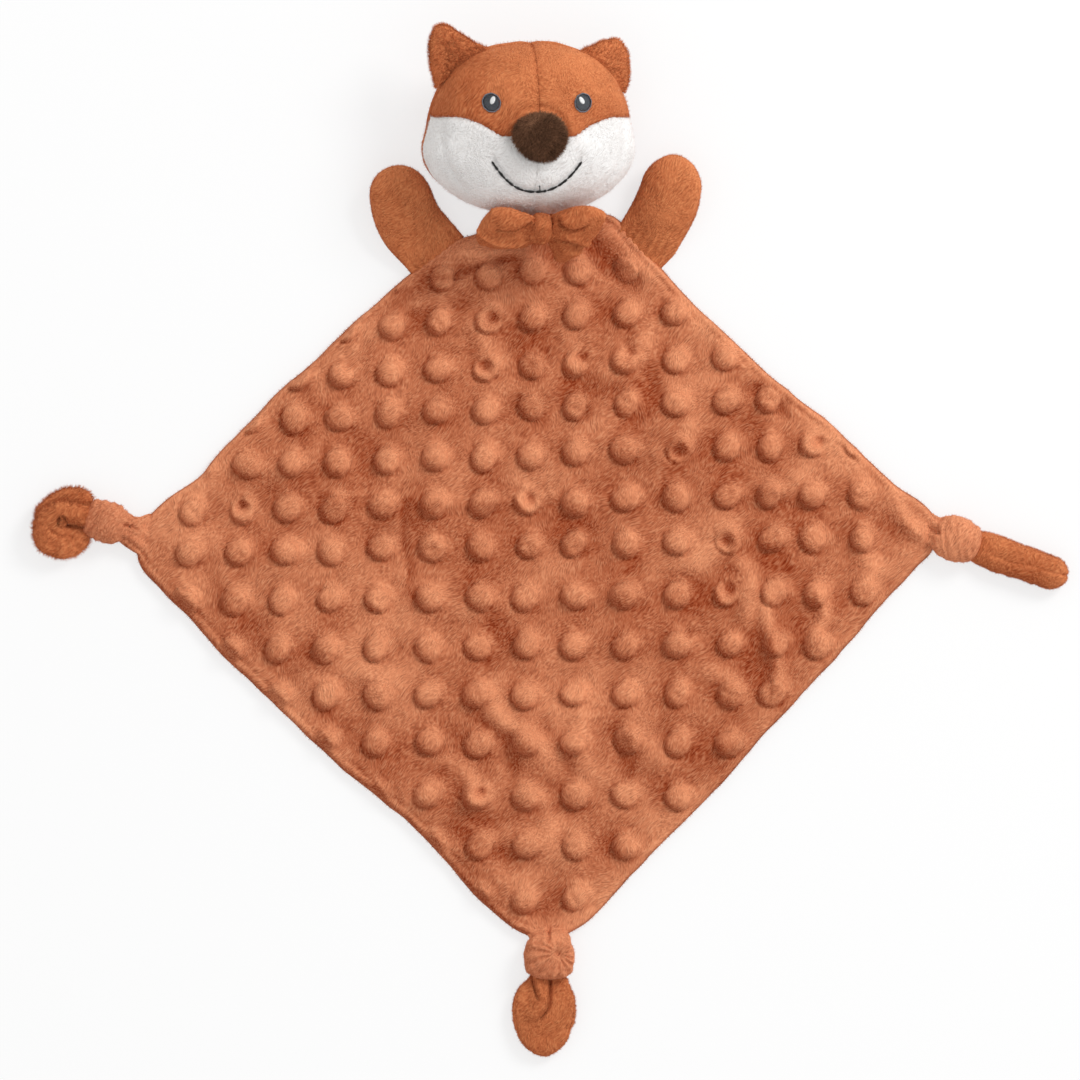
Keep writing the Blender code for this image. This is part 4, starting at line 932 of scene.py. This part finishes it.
def seam_shape(points):
    """How far the seams, the embroidery and the stuffing move the head's skin in or out."""
    x, y, z = points.T
    face = ease(z, SIDE_SEAM, SIDE_SEAM + 6)
    ragged = 0.35 * drift(points, 3, 4)
    pull = 0.7 * notch(x, 2.6) * (0.6 + 0.4 * ease(y, 0, 12))
    pull += 0.22 * notch(x + 0.3 * np.sin(y * 1.9), 0.7) * (0.4 + 0.6 * np.sin(y * 1.9) ** 2) * ease(y, 0, 10)
    pull += 0.8 * notch(y - mask_height(x) + ragged, 1.3) * face
    pull += 0.9 * notch(z - SIDE_SEAM, 1.5)
    side = (np.abs(x) / HEAD_HALF[0]) ** HEAD_POWER + (np.abs(y) / HEAD_HALF[1]) ** HEAD_POWER
    pull += 0.75 * notch((side - 0.74) * 20, 1.2) * (y < mask_height(x)) * face * ease(np.abs(x), 26, 34)
    for sign in (-1, 1):
        pull += 1.7 * notch(np.hypot(x - sign * EYE_X, y - EYE_Y), 6.6) * face
        pull += 0.6 * notch(np.hypot(x - sign * MOUTH_HALF, y - MOUTH_END), 3.0) * face
    slope = 1 + (1.6 * np.abs(x) / MOUTH_HALF) ** 2
    smile = notch((y - mouth_height(x)) / np.sqrt(slope), 1.5) * (np.abs(x) < MOUTH_HALF)
    pull += 0.8 * smile * face
    pull += 1.0 * notch(np.hypot(x / 12.2, (y - NOSE_Y) / 11.0) - 1.05, 0.14) * face
    lumps = 0.55 * drift(points, 17, 3) + 0.28 * drift(points, 7, 8) + 0.10 * drift(points, 3, 5)
    return lumps - pull


def snap_to(points, edges, value):
    """Moves the points beside a seam onto it, so that no face straddles it."""
    level = value(points)
    a, b = edges.T
    crossing = level[a] * level[b] < 0
    a, b = a[crossing], b[crossing]
    share = level[a] / (level[a] - level[b])
    mover, other = np.where(share < 0.5, a, b), np.where(share < 0.5, b, a)
    share = np.where(share < 0.5, share, 1 - share)
    order = np.argsort(-share)
    target = points[mover] + (points[other] - points[mover]) * share[:, None]
    snapped = points.copy()
    snapped[mover[order]] = target[order]
    return unit(snapped)


def start_ball(name, cuts):
    """A finely cut cube, with the direction of each of its points on a ball."""
    bpy.ops.object.select_all(action="DESELECT")
    bpy.ops.mesh.primitive_cube_add(size=2)
    ball = bpy.context.object
    ball.name = ball.data.name = name
    with edit_mode():
        bpy.ops.mesh.select_all(action="SELECT")
        bpy.ops.mesh.subdivide(number_cuts=cuts)
    return ball, unit(np.tan(points_of(ball) * math.pi / 4))


def before_side_seam(direction):
    """How far the skin is in front of the side seam."""
    return head_points(direction)[:, 2] - SIDE_SEAM


def above_mask_seam(direction):
    """How far the skin of the face is above the white panels. Behind the side seam it says 1."""
    x, y, z = head_points(direction).T
    return np.where(z < SIDE_SEAM - 0.01, 1, y - mask_height(x))


# One skin for the whole head. The panels are cut from copies of it, and it ends as the stuffing
head_skin, direction = start_ball("head_fibre", cuts=107)
edges = np.empty(len(head_skin.data.edges) * 2, np.int32)
head_skin.data.edges.foreach_get("vertices", edges)
for seam in (before_side_seam, above_mask_seam):
    direction = snap_to(direction, edges.reshape(-1, 2), seam)
rough = head_points(direction)
normal = unit(head_points(direction, 1.0) - rough)
skin_points = rough + normal * seam_shape(rough)[:, None]
corners = np.empty(len(head_skin.data.loops), np.int32)
head_skin.data.loops.foreach_get("vertex_index", corners)
corners = corners.reshape(-1, 4)
middle = rough[corners].mean(axis=1)
on_face = middle[:, 2] > SIDE_SEAM
above_mask = middle[:, 1] > mask_height(middle[:, 0])
head_surface = BVHTree.FromPolygons(skin_points.tolist(), corners.tolist())


def face_level(x, y):
    """The heights of the finished head's front above its middle, found from well above it."""
    places = zip(np.ravel(x), np.ravel(y))
    found = [head_surface.ray_cast(Vector((*place, 90)), Vector((0, 0, -1)))[0].z for place in places]
    return np.reshape(found, np.shape(x))


def on_head(points):
    """World points in the head's own frame."""
    return (points - np.array(HEAD.translation)) @ np.array(HEAD.to_3x3())


def brush_head(root, normal):
    """The pile of the head is brushed outwards and up from the nose, and over the panels' seams."""
    away = root - np.array(HEAD @ Vector((0, -6, 20)))
    away[:, 2] *= 0.3
    way = 1.3 * unit(away)
    x, y, z = on_head(root).T
    way[:, 1] -= 2.4 * notch(y - mask_height(x), 2.0) * np.sign(y - mask_height(x))
    way[:, 0] -= 1.4 * notch(x, 1.2) * np.sign(x)
    return way


def weigh_head(centre, normal):
    """More strands show along the seams of the panels than on them."""
    x, y, z = on_head(centre).T
    face_seams = notch(y - mask_height(x), 1.4) * (z > SIDE_SEAM) + 0.8 * notch(x, 0.9)
    return 1 + 5 * face_seams + 2 * notch(z - SIDE_SEAM, 2.5)


# White plush: the same knit undyed. Its shade is warm where the rust plush next to it shines in
WHITE_PLUSH = plush("white_short_plush", ("#e0dad6", "#f6f4f2", "#fdfcfb"), patch=16.0, relief=0.3, sheen=0.1)
place_points(head_skin, moved(skin_points, HEAD), RUST_PLUSH)
paint_nap_and_shade(head_skin)
# The panels: where each is, its cloth, its finish and how many loose strands it has
PANELS = (
    ("forehead", on_face & above_mask, RUST_PLUSH, "rust_plush", 4200),
    ("cheek", on_face & ~above_mask, WHITE_PLUSH, "white_plush", 4600),
    ("head_back", ~on_face, RUST_PLUSH, "rust_plush", 3000),
)
for hand, sign in (("left", -1), ("right", 1)):
    for name, region, material, slot, strands in PANELS:
        kept = region & (middle[:, 0] * sign > 0)
        panel = add_object(f"{name}_{hand}_plush", head_skin.data.copy())
        panel.data.name = panel.name
        panel.data.materials[0] = material
        choose(panel)
        with edit_mode():
            bpy.ops.mesh.select_mode(type="FACE")
        panel.data.polygons.foreach_set("select", ~kept)
        with edit_mode():
            bpy.ops.mesh.delete(type="FACE")
        add_wall(panel, WALL)
        paint_nap_and_shade(panel, -0.05 if name == "forehead" else 0.0)
        add_pile(panel, strands, 1.2, 0.2, brush_head, spread=0.4, seed=41, weigh=weigh_head)
        declare(panel, slot, "head", f"{name}_{hand}")

# Stuffing of the head
# Loose polyester fibre, pushed in until the head is firm.

inside = skin_points - normal * (1.7 + 0.25 * (1 + drift(rough, 5, 6)))[:, None]
head_skin.data.materials.clear()
place_points(head_skin, moved(inside, HEAD), FIBRE)
declare(head_skin, "polyester_fibre", "head", "head_filling")

# Nose
# A ball of long-pile brown plush round a wad of fibre, sewn on over the meeting of the seams. The
# pile is about 3 mm long and lies over the ball's edge.

# Long brown pile: dark at the root and warm brown where the strands lie side on to the light
BROWNS = ("#120703", "#4a2c1a", "#a97a5c")
BROWN_PILE = plush("brown_long_pile", BROWNS, strand=(0.6, 3.4), patch=7.0, relief=0.6, sheen=0.3)
NOSE_CENTRE = np.array((0.5, 1.3, 35.4))


def nose_ball(name, half_sizes, lift, material):
    """A ball whose back is pressed flat on the face, a little above it."""
    ball, way = start_ball(name, cuts=31)
    points = way * half_sizes
    # Broad at the top and narrow at the bottom, where it leans a little to the right
    points[:, 0] = points[:, 0] * (1 + 0.14 * way[:, 1]) - 0.8 * way[:, 1]
    points += NOSE_CENTRE
    points += way * (0.5 * drift(points, 5, 3) + 0.3 * drift(points, 2.4, 5))[:, None]
    points[:, 2] = np.maximum(points[:, 2], face_level(points[:, 0], points[:, 1]) + lift)
    place_points(ball, moved(points, HEAD), material)
    paint_nap_and_shade(ball)
    return ball


def brush_nose(root, normal):
    """The pile of the nose falls from its top towards the chin, in a loose whorl."""
    away = unit(root - np.array(HEAD @ Vector((-3, 9, 40))))
    return 1.1 * away + 0.5 * np.column_stack([-away[:, 1], away[:, 0], np.zeros(len(away))])


wad = nose_ball("nose_fibre", np.array((9.4, 8.2, 6.2)), lift=0.5, material=FIBRE)
declare(wad, "polyester_fibre", "head", "nose_filling")
nose = nose_ball("nose_ball", np.array((10.7, 9.5, 7.7)), lift=0.1, material=BROWN_PILE)
add_pile(nose, 9000, 2.9, 0.42, brush_nose, spread=0.36, seed=51)
declare(nose, "brown_plush", "head", "nose_cover")

# Eyes
# Machine embroidery: a disc of dark grey satin stitch, a pale blue-grey ring laid round it and a
# slanting white highlight on top.


def thread(name, colours, pitch, turn):
    """Embroidery thread in satin stitch: polyester floss with a soft gloss, one ridge a stitch."""
    low, high = (linear(colour) for colour in colours)
    material, tree, place = start_material(name)
    lay = add_node(tree, "Mapping", {"Vector": place, "Rotation": (0, 0, turn), "Scale": (1000,) * 3})
    # The wave node's bands are 0.314 units wide at a scale of 1
    stitch = {"Vector": lay.outputs["Vector"], "Scale": 0.314 / pitch, "Distortion": 1.2, "Detail Scale": 2.0}
    stitch = add_node(tree, "TexWave", stitch).outputs["Fac"]
    fleck = noise(tree, place, 0.7, 2.0).outputs["Fac"]
    mixed = add_node(tree, "Math", {0: stitch, 1: fleck}, operation="MULTIPLY").outputs[0]
    spread = add_node(tree, "MapRange", {"Value": mixed, "From Min": 0.08, "From Max": 0.5}).outputs[0]
    colour = add_node(tree, "Mix", {0: spread, 6: low, 7: high}, data_type="RGBA").outputs[2]
    relief = {"Height": stitch, "Distance": 0.15 * MM, "Strength": 0.7}
    feed_shader(tree, colour, relief, {"Roughness": 0.45, "Specular IOR Level": 0.4})
    return material


GREY_THREAD = thread("dark_grey_floss", ("#1d1f22", "#54585e"), pitch=0.5, turn=0.9)
RIM_THREAD = thread("blue_grey_floss", ("#4c555e", "#8a96a3"), pitch=0.42, turn=2.2)
WHITE_THREAD = thread("white_floss", ("#d9d9d6", "#ffffff"), pitch=0.4, turn=1.4)
BLACK_THREAD = thread("black_floss", ("#0b0a0a", "#1f1c1b"), pitch=0.5, turn=0.3)


def stitched_patch(name, centre, half_width, half_height, material, low, high, turn=0.0, hole=0.0):
    """A raised patch of stitching that follows the face, with a ragged rim; a ring with a hole."""
    inner = np.linspace(hole, 1, 12)
    share = np.r_[inner, inner[::-1]]
    if hole:
        top = np.sqrt(np.clip(1 - (2 * (inner - hole) / (1 - hole) - 1) ** 4, 0, 1))
    else:
        top = np.sqrt(1 - inner**3)
    rise = np.r_[top, np.zeros(len(inner))]
    angles = np.linspace(0, math.tau, 65)
    ragged = 1 + 0.02 * np.sin(angles * 23) + 0.015 * np.sin(angles * 9)
    x = half_width * share[:, None] * np.cos(angles) * ragged
    y = half_height * share[:, None] * np.sin(angles) * ragged
    c, s = math.cos(turn), math.sin(turn)
    x, y = centre[0] + c * x - s * y, centre[1] + s * x + c * y
    z = face_level(x, y) + (low + (high - low) * rise)[:, None]
    rings = np.stack([x, y, z], axis=2)
    if hole:
        rings = np.concatenate([rings, rings[:1]])
    return make_skin(name, rings, material, HEAD)


for hand, sign in (("left", -1), ("right", 1)):
    centre = (sign * EYE_X, EYE_Y)
    eye = stitched_patch(f"eye_{hand}_fill", centre, 3.8, 3.9, GREY_THREAD, low=-0.3, high=0.75)
    declare(eye, "grey_thread", "head", f"eye_{hand}")
    rim = stitched_patch(f"eye_{hand}_rim", centre, 4.05, 4.15, RIM_THREAD, low=-0.3, high=0.8, hole=0.9)
    declare(rim, "grey_thread", "head")
    place = (centre[0] + (0.5 if sign < 0 else -0.6), EYE_Y + 1.0)
    slant = sign * 0.5 + 0.1
    glint = f"eye_{hand}_highlight"
    glint = stitched_patch(glint, place, 1.1, 1.95, WHITE_THREAD, low=0.3, high=1.25, turn=slant)
    declare(glint, "white_thread", "head", f"eye_glint_{hand}")

# Mouth
# A line of black thread in long back stitches, each pulled down into the pile at its ends, and one
# short stitch up from its middle.


def sewn_line(name, x, y, half_thickness, pitch, node):
    """A thread along the face that dips under the pile at the end of each stitch."""
    run = run_along(np.column_stack([x, y]))
    dip = 0.75 * notch((run / pitch + 0.5) % 1 - 0.5, 0.07)
    rows = np.column_stack([x, y, face_level(x, y) + 0.45 - dip])
    angles = np.linspace(0, math.tau, 13)[:, None]
    forwards = unit(np.gradient(rows, axis=0))
    sideways = np.cross(forwards, (0, 0, 1))
    upwards = np.cross(sideways, forwards)
    thick = half_thickness * (1 + 0.18 * np.sin(run * 1.9) - 0.4 * dip)
    thick *= np.sqrt(1 - np.abs(2 * run / run[-1] - 1) ** 40)
    out = sideways[:, None] * np.cos(angles) + upwards[:, None] * np.sin(angles)
    line = make_skin(name, rows[:, None] + thick[:, None, None] * out, BLACK_THREAD, HEAD)
    declare(line, "black_thread", "head", node)


x = np.linspace(-MOUTH_HALF, MOUTH_HALF, 240)
sewn_line("mouth_thread", x, mouth_height(x), half_thickness=0.52, pitch=5.2, node="mouth_stitching")
x, y = np.linspace(2.3, 1.4, 14), MOUTH_LOW + np.linspace(0.4, 3.4, 14)
sewn_line("mouth_middle_stitch", x, y, half_thickness=0.5, pitch=30.0, node="mouth_tick")

# Ears
# Two layers of plush each, turned and left unstuffed, with their open ends caught in the head's
# side seam. The right one is bent back.

# Each ear's root, heading and lean, the place of its cup and how far it is bent across
EARS = {
    "left": ((-37.77, 215.18, 36.57), 139, 0, 1.5, 1),
    "right": ((31.79, 214.08, 26.6), 39, -42, -1.5, -0.4),
}
EAR_ROWS = {
    "left": (
        (0, -5, 0, 14.8, 1.2), (1.2, 0.5, 0, 11.9, 1.9), (3, 6, 0, 9, 2.5), (4.4, 9.5, 0, 7, 2.6),
        (5.9, 13.2, 0, 4.6, 2.3), (6.5, 16, 0, 2.9, 2),
    ),
    "right": (
        (1, -3.2, -3.2, 14.2, 1.2), (0.4, 0, -1.2, 12.6, 1.9), (-0.8, 4.6, 0, 9.4, 2.5),
        (-1.6, 8.1, 0, 7, 2.6), (-2.9, 11, 0, 4.6, 2.2), (-3.4, 12.8, 0, 3, 1.9),
    ),
}

for hand, (place, heading, lean, cup_x, bend) in EARS.items():
    root = HEAD @ root_frame(HEAD.inverted() @ Vector(place), heading, lean)
    outwards = np.array(root.to_3x3() @ Vector((0, 1, 0)))
    for layer, sign in (("front", 1), ("back", -1)):
        rings = limb_rings(EAR_ROWS[hand], 90, half_round(sign), end=4.2)
        x, y, z = np.moveaxis(rings, 2, 0)
        cup = -1.3 * notch(y - 7, 5) * notch(x - cup_x, 5) if layer == "front" else 0
        rings = swell(rings, 0.4 * drift(rings, 5, 2) * ease(np.abs(z), 0, 1.5))
        # The layers are flat on each other, and the whole ear is cupped a little
        rings[..., 2] += cup + 0.9 * (rings[..., 0] / 14) ** 2 * bend
        ear = make_skin(f"ear_{hand}_{layer}_plush", rings, RUST_PLUSH, root, wall=0.9, nap_and_painted_shade=0.18)
        add_pile(ear, 4200, 1.9, 0.26, outwards * 1.2, spread=0.5, seed=61, weigh=weigh_rim(0.4, 0.6))
        declare_bend(ear, f"ear_{hand}_{layer}")

# Bow
# A strip of the plush folded into two loops, pinched by a band of the same cloth that is sewn
# round its middle and tacked to the neck. The right loop has folded over.

BOW = Matrix.Translation((1.52, 138.0, 37.3)) @ Matrix.Rotation(math.radians(48), 4, "X")
BOW = BOW @ Matrix.Rotation(math.radians(-9), 4, "Z")
# In each loop's frame +Y runs out of the band; +X runs up on the left and down on the right
LOOP_ROWS = {
    "left": (
        (3.6, -3, 0.4, 6.4, 3.2), (2.6, 1, 0.5, 9.4, 3.8), (1.5, 6, 0.6, 12.2, 4.4),
        (0.9, 12.5, 0.6, 13.2, 4.4), (0.7, 18.5, 0.6, 12.3, 4.1), (1.1, 22.4, 0.5, 9.8, 3.6),
    ),
    "right": (
        (-4.2, -3, 0.4, 6.6, 3.2), (-4, 0.4, 0.2, 11.4, 4.2), (-3.4, 5, 0, 16.6, 4.9),
        (-2.2, 9.2, 0, 18.8, 4.9), (-0.6, 13, 0, 18.4, 4.4), (0.8, 16.2, 0, 15.8, 3.8),
    ),
}

for hand, sign in (("left", -1), ("right", 1)):
    root = BOW @ Matrix.Translation((sign * 5.9, 0, 0)) @ Matrix.Rotation(-sign * math.pi / 2, 4, "Z")
    rings = limb_rings(LOOP_ROWS[hand], 140, AROUND, start=1.0, end=3.6, squareness=2.3)
    x, y, z = np.moveaxis(rings, 2, 0)
    above = ease(z, 0.3, 2.2)
    if hand == "left":
        # The upper side has curled down over the loop's inside, which shows above the lower lip
        curl = x - 4.4 - 0.045 * (y - 11) ** 2 * (y < 11)
        lip = x + 6.4 - 0.03 * (y - 9) ** 2
        along = ease(y, -2, 2) * (1 - ease(y, 12, 16))
        curled = 1.3 * notch(curl - 3.4, 2.8) - 4.2 * notch(curl + 0.5, 0.8) - 1.6 * notch(curl + 4.0, 3.0)
        lipped = 1.3 * notch(lip - 1.2, 1.2) - 3.2 * notch(lip + 0.7, 0.7) - 1.2 * ease(-lip, 0.6, 1.6)
        relief = above * along * curled + above * ease(y, 0, 4) * lipped
    else:
        # Folded over in two places: a puff above, a flat middle, and a flap that hangs down
        fold = -x - 9.6 - 0.07 * (y - 6) ** 2
        edge = -x - 1.4 + 0.05 * np.clip(y - 5, 0, None) ** 2
        puff = 1.5 * notch(fold - 3.4, 2.8) - 4.2 * notch(fold + 0.4, 0.9)
        hanging = 1.1 * notch(edge - 3.0, 2.2) - 3.8 * notch(edge, 0.8) * (1 - ease(y, 12, 16))
        relief = above * ease(y, -2, 2) * (1 - ease(y, 10, 14)) * puff + above * ease(y, -1, 3) * hanging
        relief -= 3.4 * above * notch(np.hypot(x - 3.2, (y - 9.4) / 1.8), 1.8)
        relief += 1.0 * above * notch(edge + 6.0, 3.2) * ease(y, 0, 6)
    pinch = 0.35 * np.cos(AROUND[None, :] * 8 + 1.5) * (1 - ease(y, 0, 5))
    relief += pinch + 0.4 * drift(rings, 6, 3) + 0.2 * drift(rings, 2.6, 6)
    loop = make_skin(f"bow_{hand}_loop", swell(rings, relief), RUST_PLUSH, root, nap_and_painted_shade=0.1)
    add_pile(loop, 3200, 0.9, 0.2, (0.3, -0.3, 0.2), spread=0.5, seed=71)
    declare(loop, "rust_plush", "neck", f"bow_loop_{hand}")

BAND_ROWS = (
    (-0.8, 6, -5.3, 4.2, 5.8), (-0.8, 3, -5.1, 4.9, 6.4), (-0.6, -1.2, -2.7, 5, 6.4),
    (-0.2, -5, 2.6, 5.2, 6), (0, -9, 8.4, 5.3, 5.4), (0, -13, 14, 5.2, 4.8), (0, -16, 18, 5.2, 4.6),
)
root = BOW @ Matrix.Rotation(math.pi / 2, 4, "X")
rings = limb_rings(BAND_ROWS, 70, AROUND, start=3.2, end=2.0, squareness=3.0)
x, y, z = np.moveaxis(rings, 2, 0)
gathers = 0.16 * np.sin((x + 0.5 * z) * 2.2 + 1.2 * drift(rings, 5, 2)) + 0.3 * drift(rings, 3.5, 4)
band = make_skin("bow_middle_band", swell(rings, gathers), RUST_PLUSH, root, nap_and_painted_shade=0.1)
add_pile(band, 1200, 0.9, 0.2, (0.2, 0.2, 0.2), spread=0.5, seed=81)
declare(band, "rust_plush", "neck", "bow_band")

# Stage
# A white floor, one large soft lamp from the upper right and a pale world that fills the shade.
# The camera looks straight down through a long lens, as the photograph does.

bpy.ops.mesh.primitive_plane_add(size=6, location=(0, 0, -0.0002))
floor = bpy.context.object
floor.name = "studio_floor"
paper = bpy.data.materials.new("white_paper_floor")
paper.use_nodes = True
paper_shader = paper.node_tree.nodes["Principled BSDF"]
paper_shader.inputs["Base Color"].default_value = linear("#fbfbfb")
paper_shader.inputs["Roughness"].default_value = 0.9
# The camera sees the paper lit from behind as well, so the shadows on it stay pale
glow = add_node(paper.node_tree, "Emission", {"Color": linear("#fdfdfd"), "Strength": 1.0})
seen = add_node(paper.node_tree, "LightPath").outputs["Is Camera Ray"]
seen = add_node(paper.node_tree, "Math", {0: seen, 1: 0.7}, operation="MULTIPLY").outputs[0]
lit = add_node(paper.node_tree, "MixShader", {0: seen, 1: paper_shader.outputs[0], 2: glow.outputs[0]})
paper.node_tree.links.new(lit.outputs[0], paper.node_tree.nodes["Material Output"].inputs["Surface"])
floor.data.materials.append(paper)

VIEW_CENTRE = (0.9, 1.8)
VIEW_WIDTH = 481.7
VIEW_DISTANCE = 15000.0
camera_data = bpy.data.cameras.new("camera")
camera_data.lens_unit = "FOV"
camera_data.angle = 2 * math.atan(VIEW_WIDTH / 2 / VIEW_DISTANCE)
camera_data.clip_end = 40
camera = add_object("camera", camera_data)
camera.location = (VIEW_CENTRE[0] * MM, VIEW_CENTRE[1] * MM, (VIEW_DISTANCE + 4) * MM)
bpy.context.scene.camera = camera

lamp_data = bpy.data.lights.new("key_lamp", "AREA")
lamp_data.size = 0.8
lamp_data.energy = 25
lamp = add_object("key_lamp", lamp_data)
lamp.location = (1.3, 1.15, 1.5)
lamp.rotation_euler = lamp.location.to_track_quat("Z", "Y").to_euler()
world = bpy.data.worlds.new("pale_room")
world.use_nodes = True
bpy.context.scene.world = world
ground = world.node_tree.nodes["Background"]
ground.inputs["Color"].default_value = (1, 1, 1, 1)
path = add_node(world.node_tree, "LightPath")
seen = add_node(world.node_tree, "Math", {0: path.outputs["Is Camera Ray"], 1: 0.75}, operation="MAXIMUM")
world.node_tree.links.new(seen.outputs[0], ground.inputs["Strength"])
bpy.context.scene.view_settings.view_transform = "Standard"
